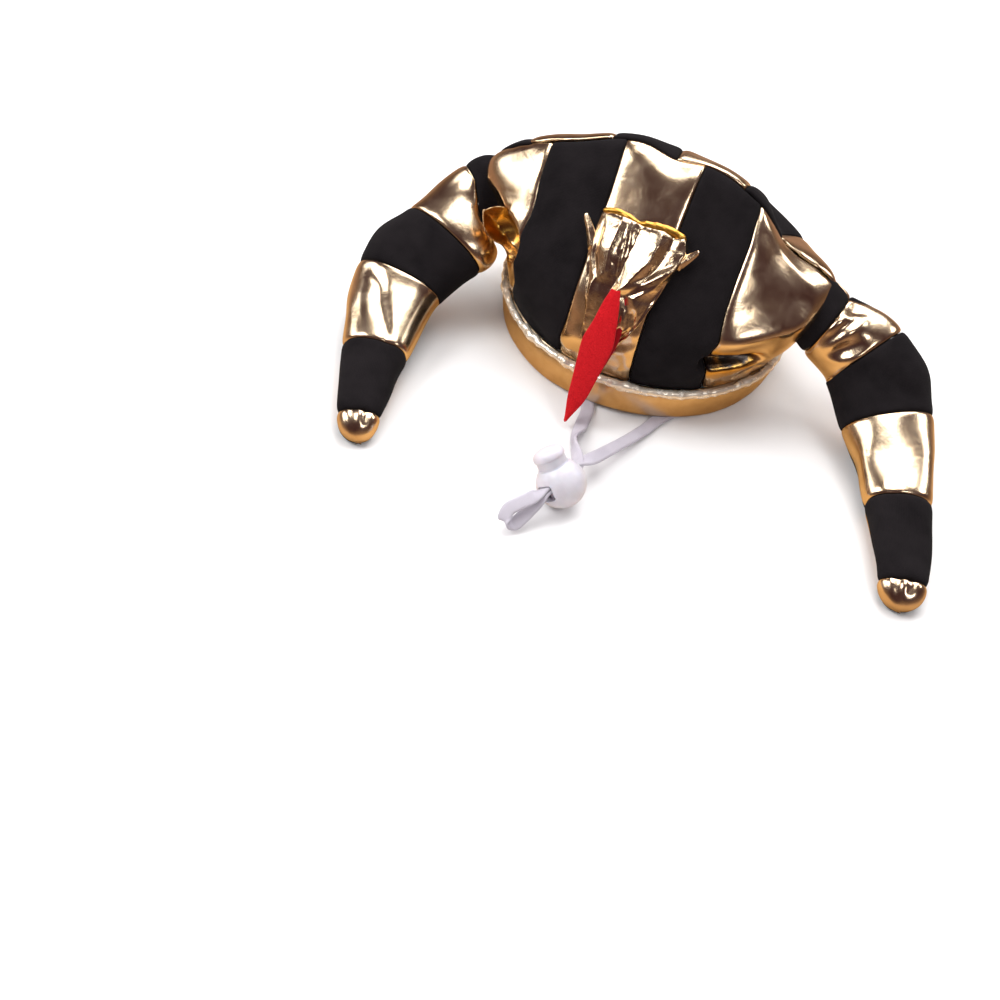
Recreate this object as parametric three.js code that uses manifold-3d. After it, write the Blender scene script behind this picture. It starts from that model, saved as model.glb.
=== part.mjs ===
// Pharaoh headdress for a cat or a small dog, standing on its rim with its lappets spread.
// Millimetres, +Z up, the cobra towards -Y. The hat is drawn about the middle of its rim
// and then set so that the origin lies under the middle of its cloth.
import * as THREE from "three";
import { mergeVertices } from "three/addons/utils/BufferGeometryUtils.js";
import Module from "manifold-3d";

const wasm = await Module();
wasm.setup();

// Fit between sewn pieces, and cloth thickness
const GAP = 0.3;
const WALL = 2;

// Rim band, an oval ring with a gathered roll along its top seam
const RIM_HALF_WIDTH = 46.3;
const RIM_HALF_DEPTH = 43.5;
const RIM_HEIGHT = 13.7;
const RIM_STEPS = 72;
const RIM_GATHERS = 36;
const RIM_GATHER_DEPTH = 0.45;
const RIM_ARCH = { x: 8, halfWidth: 26, rise: 2.4, power: 0.8 };
const RIM_PROFILE = [
  { out: 0.2, up: 0, gather: 0 },
  { out: 0.9, up: 5.5, gather: 0 },
  { out: 0.2, up: 9.6, gather: 0 },
  { out: 2.0, up: 10.7, gather: 1 },
  { out: 2.5, up: 12.2, gather: 1 },
  { out: 1.6, up: RIM_HEIGHT, gather: 1 },
  { out: -WALL, up: RIM_HEIGHT, gather: 0 },
  { out: -WALL, up: 0, gather: 0 },
];

// Crown: horizontal sections from the rim seam to the ridge. A ridge of 1 is an oval
// section, and a higher one pinches the section towards the seam at its two ends.
const CROWN = [
  { height: 14, halfWidth: 46.8, front: 42.8, back: 42.8, ridge: 1 },
  { height: 20, halfWidth: 49.5, front: 44, back: 43.6, ridge: 1 },
  { height: 28, halfWidth: 53, front: 43, back: 41.5, ridge: 1.02 },
  { height: 37, halfWidth: 54, front: 39.5, back: 37, ridge: 1.05 },
  { height: 46, halfWidth: 52, front: 32, back: 30, ridge: 1.1 },
  { height: 55, halfWidth: 44.5, front: 22, back: 21, ridge: 1.15 },
  { height: 62, halfWidth: 35, front: 12.5, back: 12.5, ridge: 1.2 },
  { height: 67, halfWidth: 24, front: 5.5, back: 6, ridge: 1.2 },
  { height: 69.5, halfWidth: 13, front: 2, back: 2.4, ridge: 1.2 },
];
const CROWN_LEVELS = 13;
const CROWN_STEPS = 44;
const CROWN_HALVINGS = 24;
const CROWN_CAP_WALL = { power: 6, shrink: 0.9 };

// Dents and swells of the soft crown: where, how far they spread, and how deep (minus is in).
// They push away from a point inside the crown, flattened so that the sides move level.
const CROWN_FOLDS = [
  { x: -50, y: -16, z: 21, reach: 9, lift: -3.5 },
  { x: 45, y: -22, z: 18, reach: 8, lift: -2.5 },
  { x: 47, y: -24, z: 29, reach: 11, lift: 3 },
  { x: -2, y: 0, z: 70, reach: 7, lift: -2 },
  { x: 12, y: 0, z: 70, reach: 8, lift: 1.2 },
  { x: -16, y: 0, z: 70, reach: 8, lift: 1.2 },
  { x: 46, y: 0, z: 54, reach: 13, lift: -6 },
  { x: 30, y: 0, z: 64, reach: 9, lift: -1.2 },
  { x: 0, y: 36, z: 36, reach: 15, lift: -2 },
];

const FOLD_CENTRE = 30;
const FOLD_FLATTEN = 0.7;

// Stripes of the two crown panels, by the X of their seams
const SLAB_DEPTH = 100;
const SLAB_HEIGHT = 200;
const PANELS = [
  { face: "front", edges: [-70, -39.5, -17, 7.5, 29.5, 70], first: "gold" },
  { face: "back", edges: [-70, -45, -22, -2, 22, 43, 70], first: "black" },
];

// Lappets: a row for each stripe seam, from inside the crown's side to the tip.
// Lean turns the front face from forward (0) to straight up (90).
const LAPPETS = [
  {
    side: "left",
    outward: -1,
    seams: [
      { reach: 38, forward: -3, height: 36, width: 24, thick: 17, lean: 15 },
      { reach: 59.5, forward: 3, height: 29, width: 27, thick: 20, lean: 25 },
      { reach: 66, forward: 19, height: 22.5, width: 31, thick: 20, lean: 52 },
      { reach: 74, forward: 36.5, height: 14, width: 32, thick: 19, lean: 70 },
      { reach: 68.5, forward: 64.5, height: 8, width: 20.5, thick: 15, lean: 82 },
      { reach: 62.8, forward: 90.5, height: 5.4, width: 13, thick: 10.4, lean: 88 },
      { reach: 60, forward: 97.5, height: 4, width: 3, thick: 3, lean: 90 },
    ],
  },
  {
    side: "right",
    outward: 1,
    seams: [
      { reach: 38, forward: 0, height: 38, width: 24, thick: 17, lean: 15 },
      { reach: 58.5, forward: 4, height: 31, width: 24, thick: 20, lean: 25 },
      { reach: 73, forward: 5.5, height: 25, width: 30, thick: 20, lean: 48 },
      { reach: 87, forward: 19.5, height: 14, width: 31, thick: 19, lean: 70 },
      { reach: 98.3, forward: 47.5, height: 8, width: 20.8, thick: 15, lean: 82 },
      { reach: 107, forward: 76.5, height: 5.4, width: 14.2, thick: 10.4, lean: 88 },
      { reach: 108.4, forward: 84, height: 4, width: 3, thick: 3, lean: 90 },
    ],
  },
];
const LAPPET_RINGS = 4;
const LAPPET_ARC = 8;
const LAPPET_FULLNESS = 0.9;

// Cobra hood: a shield on the front, by rows from its point at the rim to its top edge.
// Lift is how far its crumpled face stands off the crown.
const HOOD = [
  { height: 22, left: -5, right: -0.5, lift: 2.2 },
  { height: 28, left: -10, right: 3.5, lift: 3 },
  { height: 36, left: -13, right: 7, lift: 3.4 },
  { height: 42.5, left: -15, right: 9.5, lift: 3.6 },
  { height: 45, left: -16.5, right: 11.5, lift: 8 },
  { height: 48.5, left: -19, right: 13.5, lift: 7.5 },
  { height: 51.5, left: -21.5, right: 15.5, lift: 5.5 },
  { height: 53, left: -22, right: 16.5, lift: 3 },
];
const HOOD_COLUMNS = 12;
const HOOD_ROWS = 12;
const HOOD_EAR = 1.6;
const HOOD_EDGE = 1.6;
const HOOD_THIN = 1.2;
const HOOD_DOME = 0.6;
const HOOD_FOLDS = 5;
const HOOD_FOLD_DEPTH = 1.1;
const HOOD_FOLD_START = 10;
const MOUTH = { x: -4.5, z: 44.5 };

// Felt tongue: a leaf that hangs from the mouth in front of the rim
const TONGUE_THICK = 2;
const TONGUE_STEPS = 3;
const TONGUE = [
  { x: -4.5, forward: 40.6, height: 43.6, width: 4.5 },
  { x: -4.8, forward: 44.6, height: 37.5, width: 6.5 },
  { x: -5.2, forward: 48.2, height: 29, width: 10.5 },
  { x: -5.7, forward: 51.4, height: 19.5, width: 9.6 },
  { x: -6.3, forward: 54.6, height: 10, width: 6.2 },
  { x: -6.9, forward: 57.2, height: 2.2, width: 1 },
];

// Cord lock: a ball with a spring plunger, lying on its side
const LOCK_CENTRE = new THREE.Vector3(2.4, -89.3, 7.7);
const LOCK_RADIUS = 7.7;
const LOCK_ROWS = 10;
const LOCK_STEPS = 24;
const LOCK_BORE = 4.9;
const LOCK_BORE_FLOOR = -5.6;
const LOCK_MOUTH = 6.2;
const SLOT_WIDTH = 5.6;
const SLOT_HEIGHT = 5;
const PLUNGER_RADIUS = 4.6;
const PLUNGER_FOOT = -3.2;
const PLUNGER_NECK = 8.7;
const PLUNGER_HEAD_RADIUS = 5;
const PLUNGER_TOP = 13.2;
const PLUNGER_LIP = 0.4;
const PLUNGER_ROUND = { low: 2, middle: 0.7, reach: 2.2 };
const PLUNGER_STEPS = 20;
const PLUNGER_TRAVEL = 2.1;
const CORD_AXIS = new THREE.Vector3(0.325, 0.946, 0).normalize();
const PRESS_AXIS = new THREE.Vector3(-0.65, 0.18, 0.74);

// Chin elastic: a flat band, by its middle line and the way its flat face looks.
// It runs from the left side of the rim, through the lock, round its tail and back.
const ELASTIC_WIDTH = 4.2;
const ELASTIC_THICK = 1;
const ELASTIC_STEPS = 60;
const ELASTIC_SECTION = [
  [-1, -0.4],
  [-0.9, -1],
  [0.9, -1],
  [1, -0.4],
  [1, 0.4],
  [0.9, 1],
  [-0.9, 1],
  [-1, 0.4],
];
const SIDEWAYS = new THREE.Vector3(1, 0, 0);
const UPRIGHT = new THREE.Vector3(0, 0, 1);
const LEFT_SLANT = new THREE.Vector3(0.75, 0.66, 0);
const RIGHT_SLANT = new THREE.Vector3(0.75, -0.66, 0);
const LOCK_SIDE = new THREE.Vector3(0.7, -0.24, 0.673);
const ELASTIC_ROUTE = [
  { x: -43, forward: -1, height: 6.5, across: UPRIGHT },
  { x: -42.3, forward: 5, height: 5.4, across: UPRIGHT },
  { x: -38.6, forward: 14, height: 2.6, across: LEFT_SLANT },
  { x: -31, forward: 24, height: 0.8, across: LEFT_SLANT },
  { x: -18, forward: 34.5, height: 0.7, across: LEFT_SLANT },
  { x: -6.5, forward: 40, height: 0.7, across: SIDEWAYS },
  { x: -2.6, forward: 46, height: 0.7, across: SIDEWAYS },
  { x: -1.6, forward: 55, height: 1.1, across: SIDEWAYS },
  { x: -0.8, forward: 66, height: 3.4, across: UPRIGHT },
  { x: 3.2, forward: 76, height: 6.9, across: LOCK_SIDE },
  { x: 4.67, forward: 81.7, height: 8, across: LOCK_SIDE },
  { x: 2.14, forward: 89.23, height: 8, across: LOCK_SIDE },
  { x: -0.38, forward: 96.75, height: 8, across: LOCK_SIDE },
  { x: -2, forward: 100.4, height: 6.2, across: LOCK_SIDE },
  { x: -3.8, forward: 104, height: 3.7, across: LOCK_SIDE },
  { x: -5.8, forward: 107.2, height: 2.2, across: LOCK_SIDE },
  { x: -8.2, forward: 108.3, height: 3.8, across: LOCK_SIDE },
  { x: -8.2, forward: 106.2, height: 6.4, across: LOCK_SIDE },
  { x: -5.7, forward: 103.4, height: 8, across: LOCK_SIDE },
  { x: -3.2, forward: 100.4, height: 8.8, across: LOCK_SIDE },
  { x: -1.23, forward: 96.51, height: 8.96, across: LOCK_SIDE },
  { x: 1.3, forward: 88.99, height: 8.96, across: LOCK_SIDE },
  { x: 3.82, forward: 81.47, height: 8.96, across: LOCK_SIDE },
  { x: 7.6, forward: 74, height: 7.4, across: LOCK_SIDE },
  { x: 12.2, forward: 60, height: 3.2, across: SIDEWAYS },
  { x: 16.6, forward: 48, height: 0.9, across: SIDEWAYS },
  { x: 20, forward: 39, height: 0.7, across: RIGHT_SLANT },
  { x: 28, forward: 27, height: 0.8, across: RIGHT_SLANT },
  { x: 37.6, forward: 15, height: 2.4, across: RIGHT_SLANT },
  { x: 42.3, forward: 5, height: 5.4, across: UPRIGHT },
  { x: 43, forward: -1, height: 6.5, across: UPRIGHT },
];

const BLACK = { color: 0x181516, roughness: 0.85, metalness: 0 };
const GOLD = { color: 0xd9b979, roughness: 0.28, metalness: 0.9 };
const RED = { color: 0xc4181e, roughness: 0.95, metalness: 0 };
const ELASTIC = { color: 0xd4d0d8, roughness: 0.8, metalness: 0 };
const PLASTIC = { color: 0xe4dfe6, roughness: 0.35, metalness: 0 };
const FINISH = { black: BLACK, gold: GOLD };

const part = new THREE.Group();

function place(name, geometry, finish) {
  const mesh = new THREE.Mesh(geometry, new THREE.MeshStandardMaterial(finish));
  mesh.name = name;
  part.add(mesh);
}

// Closed solids for cutting and joining
function bare(geometry) {
  const copy = geometry.clone();
  copy.deleteAttribute("normal");
  copy.deleteAttribute("uv");
  return mergeVertices(copy, 1e-4);
}

function solidOf(geometry) {
  const merged = bare(geometry);
  const vertProperties = new Float32Array(merged.attributes.position.array);
  const triVerts = new Uint32Array(merged.index.array);
  return new wasm.Manifold(new wasm.Mesh({ numProp: 3, vertProperties, triVerts }));
}

function geometryOf(solid) {
  const mesh = solid.getMesh();
  const geometry = new THREE.BufferGeometry();
  geometry.setAttribute("position", new THREE.BufferAttribute(mesh.vertProperties, 3));
  geometry.setIndex(new THREE.BufferAttribute(mesh.triVerts, 1));
  return geometry;
}

// A skin through closed rings of points, with a fan over each end or, where the
// rings run in a circle, joined end to start
function loft(rings, circular = false) {
  const count = rings[0].length;
  const points = rings.flat();
  const faces = [];
  const bands = circular ? rings.length : rings.length - 1;
  for (let i = 0; i < bands; i++) {
    const low = i * count;
    const high = ((i + 1) % rings.length) * count;
    for (let j = 0; j < count; j++) {
      const next = (j + 1) % count;
      faces.push(low + j, low + next, high + next, low + j, high + next, high + j);
    }
  }
  if (!circular) {
    const last = (rings.length - 1) * count;
    for (let j = 1; j < count - 1; j++) {
      faces.push(0, j + 1, j, last, last + j, last + j + 1);
    }
  }
  const geometry = new THREE.BufferGeometry().setFromPoints(points);
  geometry.setIndex(faces);
  return facingOut(geometry);
}

function facingOut(geometry) {
  const spot = geometry.attributes.position;
  const index = geometry.index;
  const [a, b, c] = [new THREE.Vector3(), new THREE.Vector3(), new THREE.Vector3()];
  let volume = 0;
  for (let i = 0; i < index.count; i += 3) {
    a.fromBufferAttribute(spot, index.getX(i));
    b.fromBufferAttribute(spot, index.getX(i + 1));
    c.fromBufferAttribute(spot, index.getX(i + 2));
    volume += a.dot(b.cross(c));
  }
  if (volume < 0) geometry.index.array.reverse();
  return geometry;
}

// Value of one column of a table of rows at a place along another column
function columnAt(rows, key, at, value) {
  let i = 0;
  while (i < rows.length - 2 && rows[i + 1][key] < at) i++;
  const span = (at - rows[i][key]) / (rows[i + 1][key] - rows[i][key]);
  return THREE.MathUtils.lerp(rows[i][value], rows[i + 1][value], span);
}

// Crown surface
const crownProfile = new THREE.CatmullRomCurve3(
  CROWN.map((row) => new THREE.Vector3(row.halfWidth, row.front, row.height)),
);

function crownSection(height) {
  let [low, high] = [0, 1];
  for (let i = 0; i < CROWN_HALVINGS; i++) {
    const middle = (low + high) / 2;
    if (crownProfile.getPoint(middle).z < height) low = middle;
    else high = middle;
  }
  const spot = crownProfile.getPoint(low);
  const column = (value) => columnAt(CROWN, "height", height, value);
  return {
    halfWidth: spot.x,
    front: spot.y,
    back: spot.y + column("back") - column("front"),
    ridge: column("ridge"),
  };
}

function foldAt(point) {
  return CROWN_FOLDS.reduce((sum, fold) => {
    const away = (point.x - fold.x) ** 2 + (point.y - fold.y) ** 2 + (point.z - fold.z) ** 2;
    return sum + fold.lift * Math.exp(-away / fold.reach ** 2);
  }, 0);
}

function crownPoint(section, height, angle, grow) {
  const side = Math.sin(angle);
  const depth = side < 0 ? section.front : section.back;
  const point = new THREE.Vector3(
    (section.halfWidth + grow) * Math.cos(angle),
    (depth + grow) * Math.sign(side) * Math.abs(side) ** section.ridge,
    height,
  );
  const outward = new THREE.Vector3(point.x, point.y, (height - FOLD_CENTRE) * FOLD_FLATTEN).normalize();
  return point.addScaledVector(outward, foldAt(point));
}

// The crown's solid, grown outward by a distance, from its seam (or below it) to the ridge
function crownSolid(grow, foot) {
  const low = CROWN[0].height;
  const high = CROWN[CROWN.length - 1].height;
  const rings = [];
  for (let i = 0; i <= CROWN_LEVELS; i++) {
    const rise = Math.sin((i / CROWN_LEVELS) * Math.PI * 0.5);
    const height = low + (high - low) * rise;
    const section = crownSection(height);
    const capped = THREE.MathUtils.lerp(1, CROWN_CAP_WALL.shrink, rise ** CROWN_CAP_WALL.power);
    const shrink = grow < 0 ? capped : 1;
    const ring = [];
    for (let j = 0; j < CROWN_STEPS; j++) {
      const point = crownPoint(section, height, (j / CROWN_STEPS) * 2 * Math.PI, 0);
      const flat = Math.hypot(point.x, point.y);
      const scale = Math.max(0.05, (flat + grow) / flat) * shrink;
      ring.push(new THREE.Vector3(point.x * scale, point.y * scale, point.z + grow * rise));
    }
    rings.push(ring);
  }
  if (foot < low) {
    rings.unshift(rings[0].map((point) => new THREE.Vector3(point.x, point.y, foot)));
  }
  return solidOf(loft(rings));
}

// A slab between two X planes, on the front or the back of the ridge seam
function panelSlab(left, right, face) {
  const slab = new THREE.BoxGeometry(right - left - GAP, SLAB_DEPTH, SLAB_HEIGHT);
  const middle = (SLAB_DEPTH + GAP) / 2;
  slab.translate((left + right) / 2, face === "front" ? -middle : middle, 0);
  return solidOf(slab);
}

function otherColour(colour) {
  return colour === "gold" ? "black" : "gold";
}

const keepOut = crownSolid(GAP, 0);

function addCrown() {
  const shell = crownSolid(0, CROWN[0].height).subtract(crownSolid(-WALL, 0));
  for (const panel of PANELS) {
    let colour = panel.first;
    for (let i = 0; i < panel.edges.length - 1; i++) {
      const slab = panelSlab(panel.edges[i], panel.edges[i + 1], panel.face);
      const name = `crown_${panel.face}_${i + 1}_${colour}`;
      place(name, geometryOf(shell.intersect(slab)), FINISH[colour]);
      colour = otherColour(colour);
    }
  }
}

// Rim band: its profile swept round the oval, lifted a little where the elastic passes
function addRim() {
  const rings = [];
  for (let i = 0; i < RIM_STEPS; i++) {
    const angle = (i / RIM_STEPS) * 2 * Math.PI;
    const off = (RIM_HALF_WIDTH * Math.cos(angle) - RIM_ARCH.x) / RIM_ARCH.halfWidth;
    const under = Math.sin(angle) < 0 && Math.abs(off) < 1;
    const arch = under ? RIM_ARCH.rise * Math.cos((off * Math.PI) / 2) ** RIM_ARCH.power : 0;
    const pucker = RIM_GATHER_DEPTH * Math.cos(RIM_GATHERS * angle);
    rings.push(
      RIM_PROFILE.map((row) => {
        const out = row.out + row.gather * pucker;
        const up = row.up === 0 ? arch : row.up;
        return new THREE.Vector3(
          (RIM_HALF_WIDTH + out) * Math.cos(angle),
          (RIM_HALF_DEPTH + out) * Math.sin(angle),
          up,
        );
      }),
    );
  }
  place("rim_band", loft(rings, true), GOLD);
}

// Lappets
function lappetFrames(lappet) {
  const route = new THREE.CatmullRomCurve3(
    lappet.seams.map(
      (row) => new THREE.Vector3(lappet.outward * row.reach, -row.forward, row.height),
    ),
  );
  return (place) => {
    const last = lappet.seams.length - 1;
    const i = Math.min(Math.floor(place), last - 1);
    const [from, to] = [lappet.seams[i], lappet.seams[i + 1]];
    const share = place - i;
    const along = route.getTangent(place / last);
    const lean = THREE.MathUtils.degToRad(THREE.MathUtils.lerp(from.lean, to.lean, share));
    const face = new THREE.Vector3(0, -Math.cos(lean), Math.sin(lean));
    face.addScaledVector(along, -face.dot(along)).normalize();
    const across = new THREE.Vector3().crossVectors(face, along).multiplyScalar(lappet.outward);
    const taper = i === last - 1 ? Math.sqrt(Math.max(0, 1 - share ** 2)) : 1 - share;
    return {
      centre: route.getPoint(place / last),
      along,
      face,
      across,
      width: to.width + (from.width - to.width) * taper,
      thick: to.thick + (from.thick - to.thick) * taper,
    };
  };
}

// Half a section of a lappet: an arc from its outer seam edge to its inner one
function lappetHalf(frame, sign) {
  const ring = [];
  for (let j = 0; j <= LAPPET_ARC; j++) {
    const angle = (j / LAPPET_ARC) * Math.PI;
    const point = frame.centre.clone();
    point.addScaledVector(frame.across, (frame.width / 2) * Math.cos(angle));
    const swell = (frame.thick / 2) * Math.sin(angle) ** LAPPET_FULLNESS;
    point.addScaledVector(frame.face, sign * (swell + GAP / 2));
    point.z = Math.max(0, point.z);
    ring.push(point);
  }
  return ring;
}

function addLappet(lappet) {
  const frameAt = lappetFrames(lappet);
  for (const [face, sign, first] of [["front", 1, "black"], ["back", -1, "gold"]]) {
    let colour = first;
    for (let i = 0; i < lappet.seams.length - 1; i++) {
      const rings = [];
      for (let k = 0; k <= LAPPET_RINGS; k++) {
        const frame = frameAt(i + k / LAPPET_RINGS);
        const inset = k === 0 ? GAP / 2 : k === LAPPET_RINGS ? -GAP / 2 : 0;
        frame.centre.addScaledVector(frame.along, inset);
        rings.push(lappetHalf(frame, sign));
      }
      const name = `${lappet.side}_lappet_${face}_${i + 1}_${colour}`;
      const plain = loft(rings);
      const shape = i === 0 ? geometryOf(solidOf(plain).subtract(keepOut)) : plain;
      place(name, shape, FINISH[colour]);
      colour = otherColour(colour);
    }
  }
}

// Cobra hood: its crumpled face over its back, which follows the crown's front
function crownFront(x, height, grow) {
  const section = crownSection(height);
  const across = THREE.MathUtils.clamp(x / section.halfWidth, -0.99, 0.99);
  return crownPoint(section, height, -Math.acos(across), grow);
}

function hoodFold(x, height) {
  const bearing = Math.atan2(x - MOUTH.x, height - MOUTH.z);
  const away = Math.hypot(x - MOUTH.x, height - MOUTH.z);
  return HOOD_FOLD_DEPTH * Math.cos(HOOD_FOLDS * bearing) * Math.min(1, away / HOOD_FOLD_START);
}

function addHood() {
  const low = HOOD[0].height;
  const high = HOOD[HOOD.length - 1].height;
  const rings = [];
  for (let i = 0; i <= HOOD_ROWS; i++) {
    const height = low + ((high - low) * i) / HOOD_ROWS;
    const left = columnAt(HOOD, "height", height, "left");
    const right = columnAt(HOOD, "height", height, "right");
    const lift = columnAt(HOOD, "height", height, "lift");
    const face = [];
    const back = [];
    for (let j = 0; j <= HOOD_COLUMNS; j++) {
      const share = j / HOOD_COLUMNS;
      const x = THREE.MathUtils.lerp(left, right, share);
      const dome = Math.sin(Math.PI * share) ** HOOD_DOME;
      const ear = i === HOOD_ROWS ? HOOD_EAR * Math.cos(Math.PI * 2 * share) : 0;
      const stand = HOOD_EDGE + (lift - HOOD_EDGE + hoodFold(x, height)) * dome;
      face.push(crownFront(x, height + ear, Math.max(HOOD_THIN, stand)));
      back.unshift(crownFront(x, height + ear, -WALL / 2));
    }
    rings.push([...face, ...back]);
  }
  place("cobra_hood", geometryOf(solidOf(loft(rings)).subtract(keepOut)), GOLD);
}

function addTongue() {
  const route = new THREE.CatmullRomCurve3(
    TONGUE.map((row) => new THREE.Vector3(row.x, -row.forward, row.height)),
  );
  const side = new THREE.Vector3(1, 0, 0);
  const steps = (TONGUE.length - 1) * TONGUE_STEPS;
  const rings = [];
  for (let i = 0; i <= steps; i++) {
    const at = i / steps;
    const row = Math.min(Math.floor(at * (TONGUE.length - 1)), TONGUE.length - 2);
    const share = at * (TONGUE.length - 1) - row;
    const width = THREE.MathUtils.lerp(TONGUE[row].width, TONGUE[row + 1].width, share);
    const out = new THREE.Vector3().crossVectors(route.getTangent(at), side).normalize();
    const corner = (a, b) => {
      const point = route.getPoint(at).addScaledVector(side, (a * width) / 2);
      return point.addScaledVector(out, (b * TONGUE_THICK) / 2);
    };
    rings.push([corner(-1, -1), corner(1, -1), corner(1, 1), corner(-1, 1)]);
  }
  place("tongue", loft(rings), RED);
}

// Cord lock, drawn about its own centre with the plunger along Z and the cord along X
function lockPlace() {
  const cord = CORD_AXIS;
  const press = PRESS_AXIS.clone().addScaledVector(cord, -PRESS_AXIS.dot(cord)).normalize();
  const side = new THREE.Vector3().crossVectors(press, cord);
  return new THREE.Matrix4().makeBasis(cord, side, press).setPosition(LOCK_CENTRE);
}

function slotSolid(rise) {
  const slot = new THREE.BoxGeometry(LOCK_RADIUS * 4, SLOT_WIDTH, SLOT_HEIGHT);
  slot.translate(0, 0, rise);
  return solidOf(slot);
}

function latheSolid(profile, steps) {
  const lathe = new THREE.LatheGeometry(profile, steps);
  lathe.rotateX(Math.PI / 2);
  return solidOf(facingOut(bare(lathe)));
}

function addLock() {
  const point = (radius, rise) => new THREE.Vector2(radius, rise);
  const ball = [point(0, LOCK_BORE_FLOOR)];
  ball.push(point(LOCK_BORE, LOCK_BORE_FLOOR), point(LOCK_BORE, LOCK_MOUTH));
  const start = Math.acos(LOCK_MOUTH / LOCK_RADIUS);
  for (let i = 0; i < LOCK_ROWS; i++) {
    const angle = start + ((Math.PI - start) * i) / LOCK_ROWS;
    ball.push(point(LOCK_RADIUS * Math.sin(angle), LOCK_RADIUS * Math.cos(angle)));
  }
  ball.push(point(0, -LOCK_RADIUS));
  const barrel = latheSolid(ball, LOCK_STEPS).subtract(slotSolid(0));
  const button = [
    point(0, PLUNGER_FOOT),
    point(PLUNGER_RADIUS, PLUNGER_FOOT),
    point(PLUNGER_RADIUS, PLUNGER_NECK),
    point(PLUNGER_HEAD_RADIUS, PLUNGER_NECK + PLUNGER_LIP),
    point(PLUNGER_HEAD_RADIUS, PLUNGER_TOP - PLUNGER_ROUND.low),
    point(PLUNGER_HEAD_RADIUS - PLUNGER_ROUND.middle, PLUNGER_TOP - PLUNGER_ROUND.middle),
    point(PLUNGER_HEAD_RADIUS - PLUNGER_ROUND.reach, PLUNGER_TOP),
    point(0, PLUNGER_TOP),
  ];
  const plunger = latheSolid(button, PLUNGER_STEPS).subtract(slotSolid(PLUNGER_TRAVEL));
  const matrix = lockPlace();
  place("lock_barrel", geometryOf(barrel).applyMatrix4(matrix), PLASTIC);
  place("lock_plunger", geometryOf(plunger).applyMatrix4(matrix), PLASTIC);
}

// Chin elastic: a flat section with rounded edges carried along its route
function addElastic() {
  const route = new THREE.CatmullRomCurve3(
    ELASTIC_ROUTE.map((row) => new THREE.Vector3(row.x, -row.forward, row.height)),
    false,
    "centripetal",
  );
  const rings = [];
  for (let i = 0; i <= ELASTIC_STEPS; i++) {
    const at = i / ELASTIC_STEPS;
    const row = Math.min(Math.floor(at * (ELASTIC_ROUTE.length - 1)), ELASTIC_ROUTE.length - 2);
    const share = at * (ELASTIC_ROUTE.length - 1) - row;
    const along = route.getTangent(at);
    const across = ELASTIC_ROUTE[row].across.clone().lerp(ELASTIC_ROUTE[row + 1].across, share);
    across.addScaledVector(along, -across.dot(along)).normalize();
    const face = new THREE.Vector3().crossVectors(along, across);
    const ring = [];
    for (const [side, out] of ELASTIC_SECTION) {
      const point = route.getPoint(at);
      point.addScaledVector(across, (side * ELASTIC_WIDTH) / 2);
      ring.push(point.addScaledVector(face, (out * ELASTIC_THICK) / 2));
    }
    rings.push(ring);
  }
  place("chin_elastic", loft(rings), ELASTIC);
}

// The origin goes under the middle of the cloth, without the elastic and its lock
function settle() {
  const loose = ["chin_elastic", "lock_barrel", "lock_plunger"];
  const box = new THREE.Box3();
  for (const mesh of part.children) {
    if (!loose.includes(mesh.name)) box.expandByObject(mesh);
  }
  const middle = box.getCenter(new THREE.Vector3());
  part.position.set(-middle.x, -middle.y, -box.min.z);
}

addCrown();
addRim();
LAPPETS.forEach(addLappet);
addHood();
addTongue();
addLock();
addElastic();
settle();

export default part;
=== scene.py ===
import math

import bmesh
import bpy
import numpy as np
from mathutils import Matrix, Vector


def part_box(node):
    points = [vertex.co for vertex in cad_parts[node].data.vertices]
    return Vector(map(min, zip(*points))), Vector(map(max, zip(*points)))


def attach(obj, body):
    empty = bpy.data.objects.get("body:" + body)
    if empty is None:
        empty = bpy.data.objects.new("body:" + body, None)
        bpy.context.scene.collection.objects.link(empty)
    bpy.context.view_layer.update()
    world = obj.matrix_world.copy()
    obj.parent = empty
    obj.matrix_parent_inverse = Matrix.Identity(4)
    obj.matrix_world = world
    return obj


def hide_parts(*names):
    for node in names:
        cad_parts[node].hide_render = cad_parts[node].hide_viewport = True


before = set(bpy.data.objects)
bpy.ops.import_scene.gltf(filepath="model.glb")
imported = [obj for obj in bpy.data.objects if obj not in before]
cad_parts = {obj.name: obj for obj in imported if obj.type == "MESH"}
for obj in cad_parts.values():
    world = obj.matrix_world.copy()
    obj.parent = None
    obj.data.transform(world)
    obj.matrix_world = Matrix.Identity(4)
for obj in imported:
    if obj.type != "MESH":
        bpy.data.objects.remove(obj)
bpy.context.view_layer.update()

MM = 0.001
rim_low, rim_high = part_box("rim_band")
HAT = np.array([(rim_low.x + rim_high.x) / 2, (rim_low.y + rim_high.y) / 2, 0.0])
BODY = "headdress"
PLUNGER_BODY = "plunger"

# Camera: where the photograph was taken from, and where the rim's middle falls in its frame
CAMERA_AZIMUTH = 8.5
CAMERA_ELEVATION = 40.0
CAMERA_ROLL = 14.5
CAMERA_DISTANCE = 0.74
CAMERA_LENS = 80.0
CAMERA_SENSOR = 36.0
FRAME_PIXELS = 1000.0
RIM_PIXEL = (639.0, 327.0)

# Crown sections: height, half width, front depth, back depth, ridge
CROWN = [
    (12, 45.6, 41.8, 41.8, 1),
    (14, 46.8, 42.8, 42.8, 1),
    (20, 49.5, 44, 43.6, 1),
    (28, 53, 43, 41.5, 1.02),
    (37, 54, 39.5, 37, 1.05),
    (46, 52, 32, 30, 1.1),
    (55, 44.5, 22, 21, 1.15),
    (62, 35, 13.8, 13.8, 1.15),
    (67, 24, 7.6, 7.8, 1.1),
    (69.3, 13, 3.6, 3.8, 1.1),
    (70.1, 6, 1.6, 1.8, 1.1),
    (70.4, 0.02, 0.1, 0.1, 1.1),
]
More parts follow.
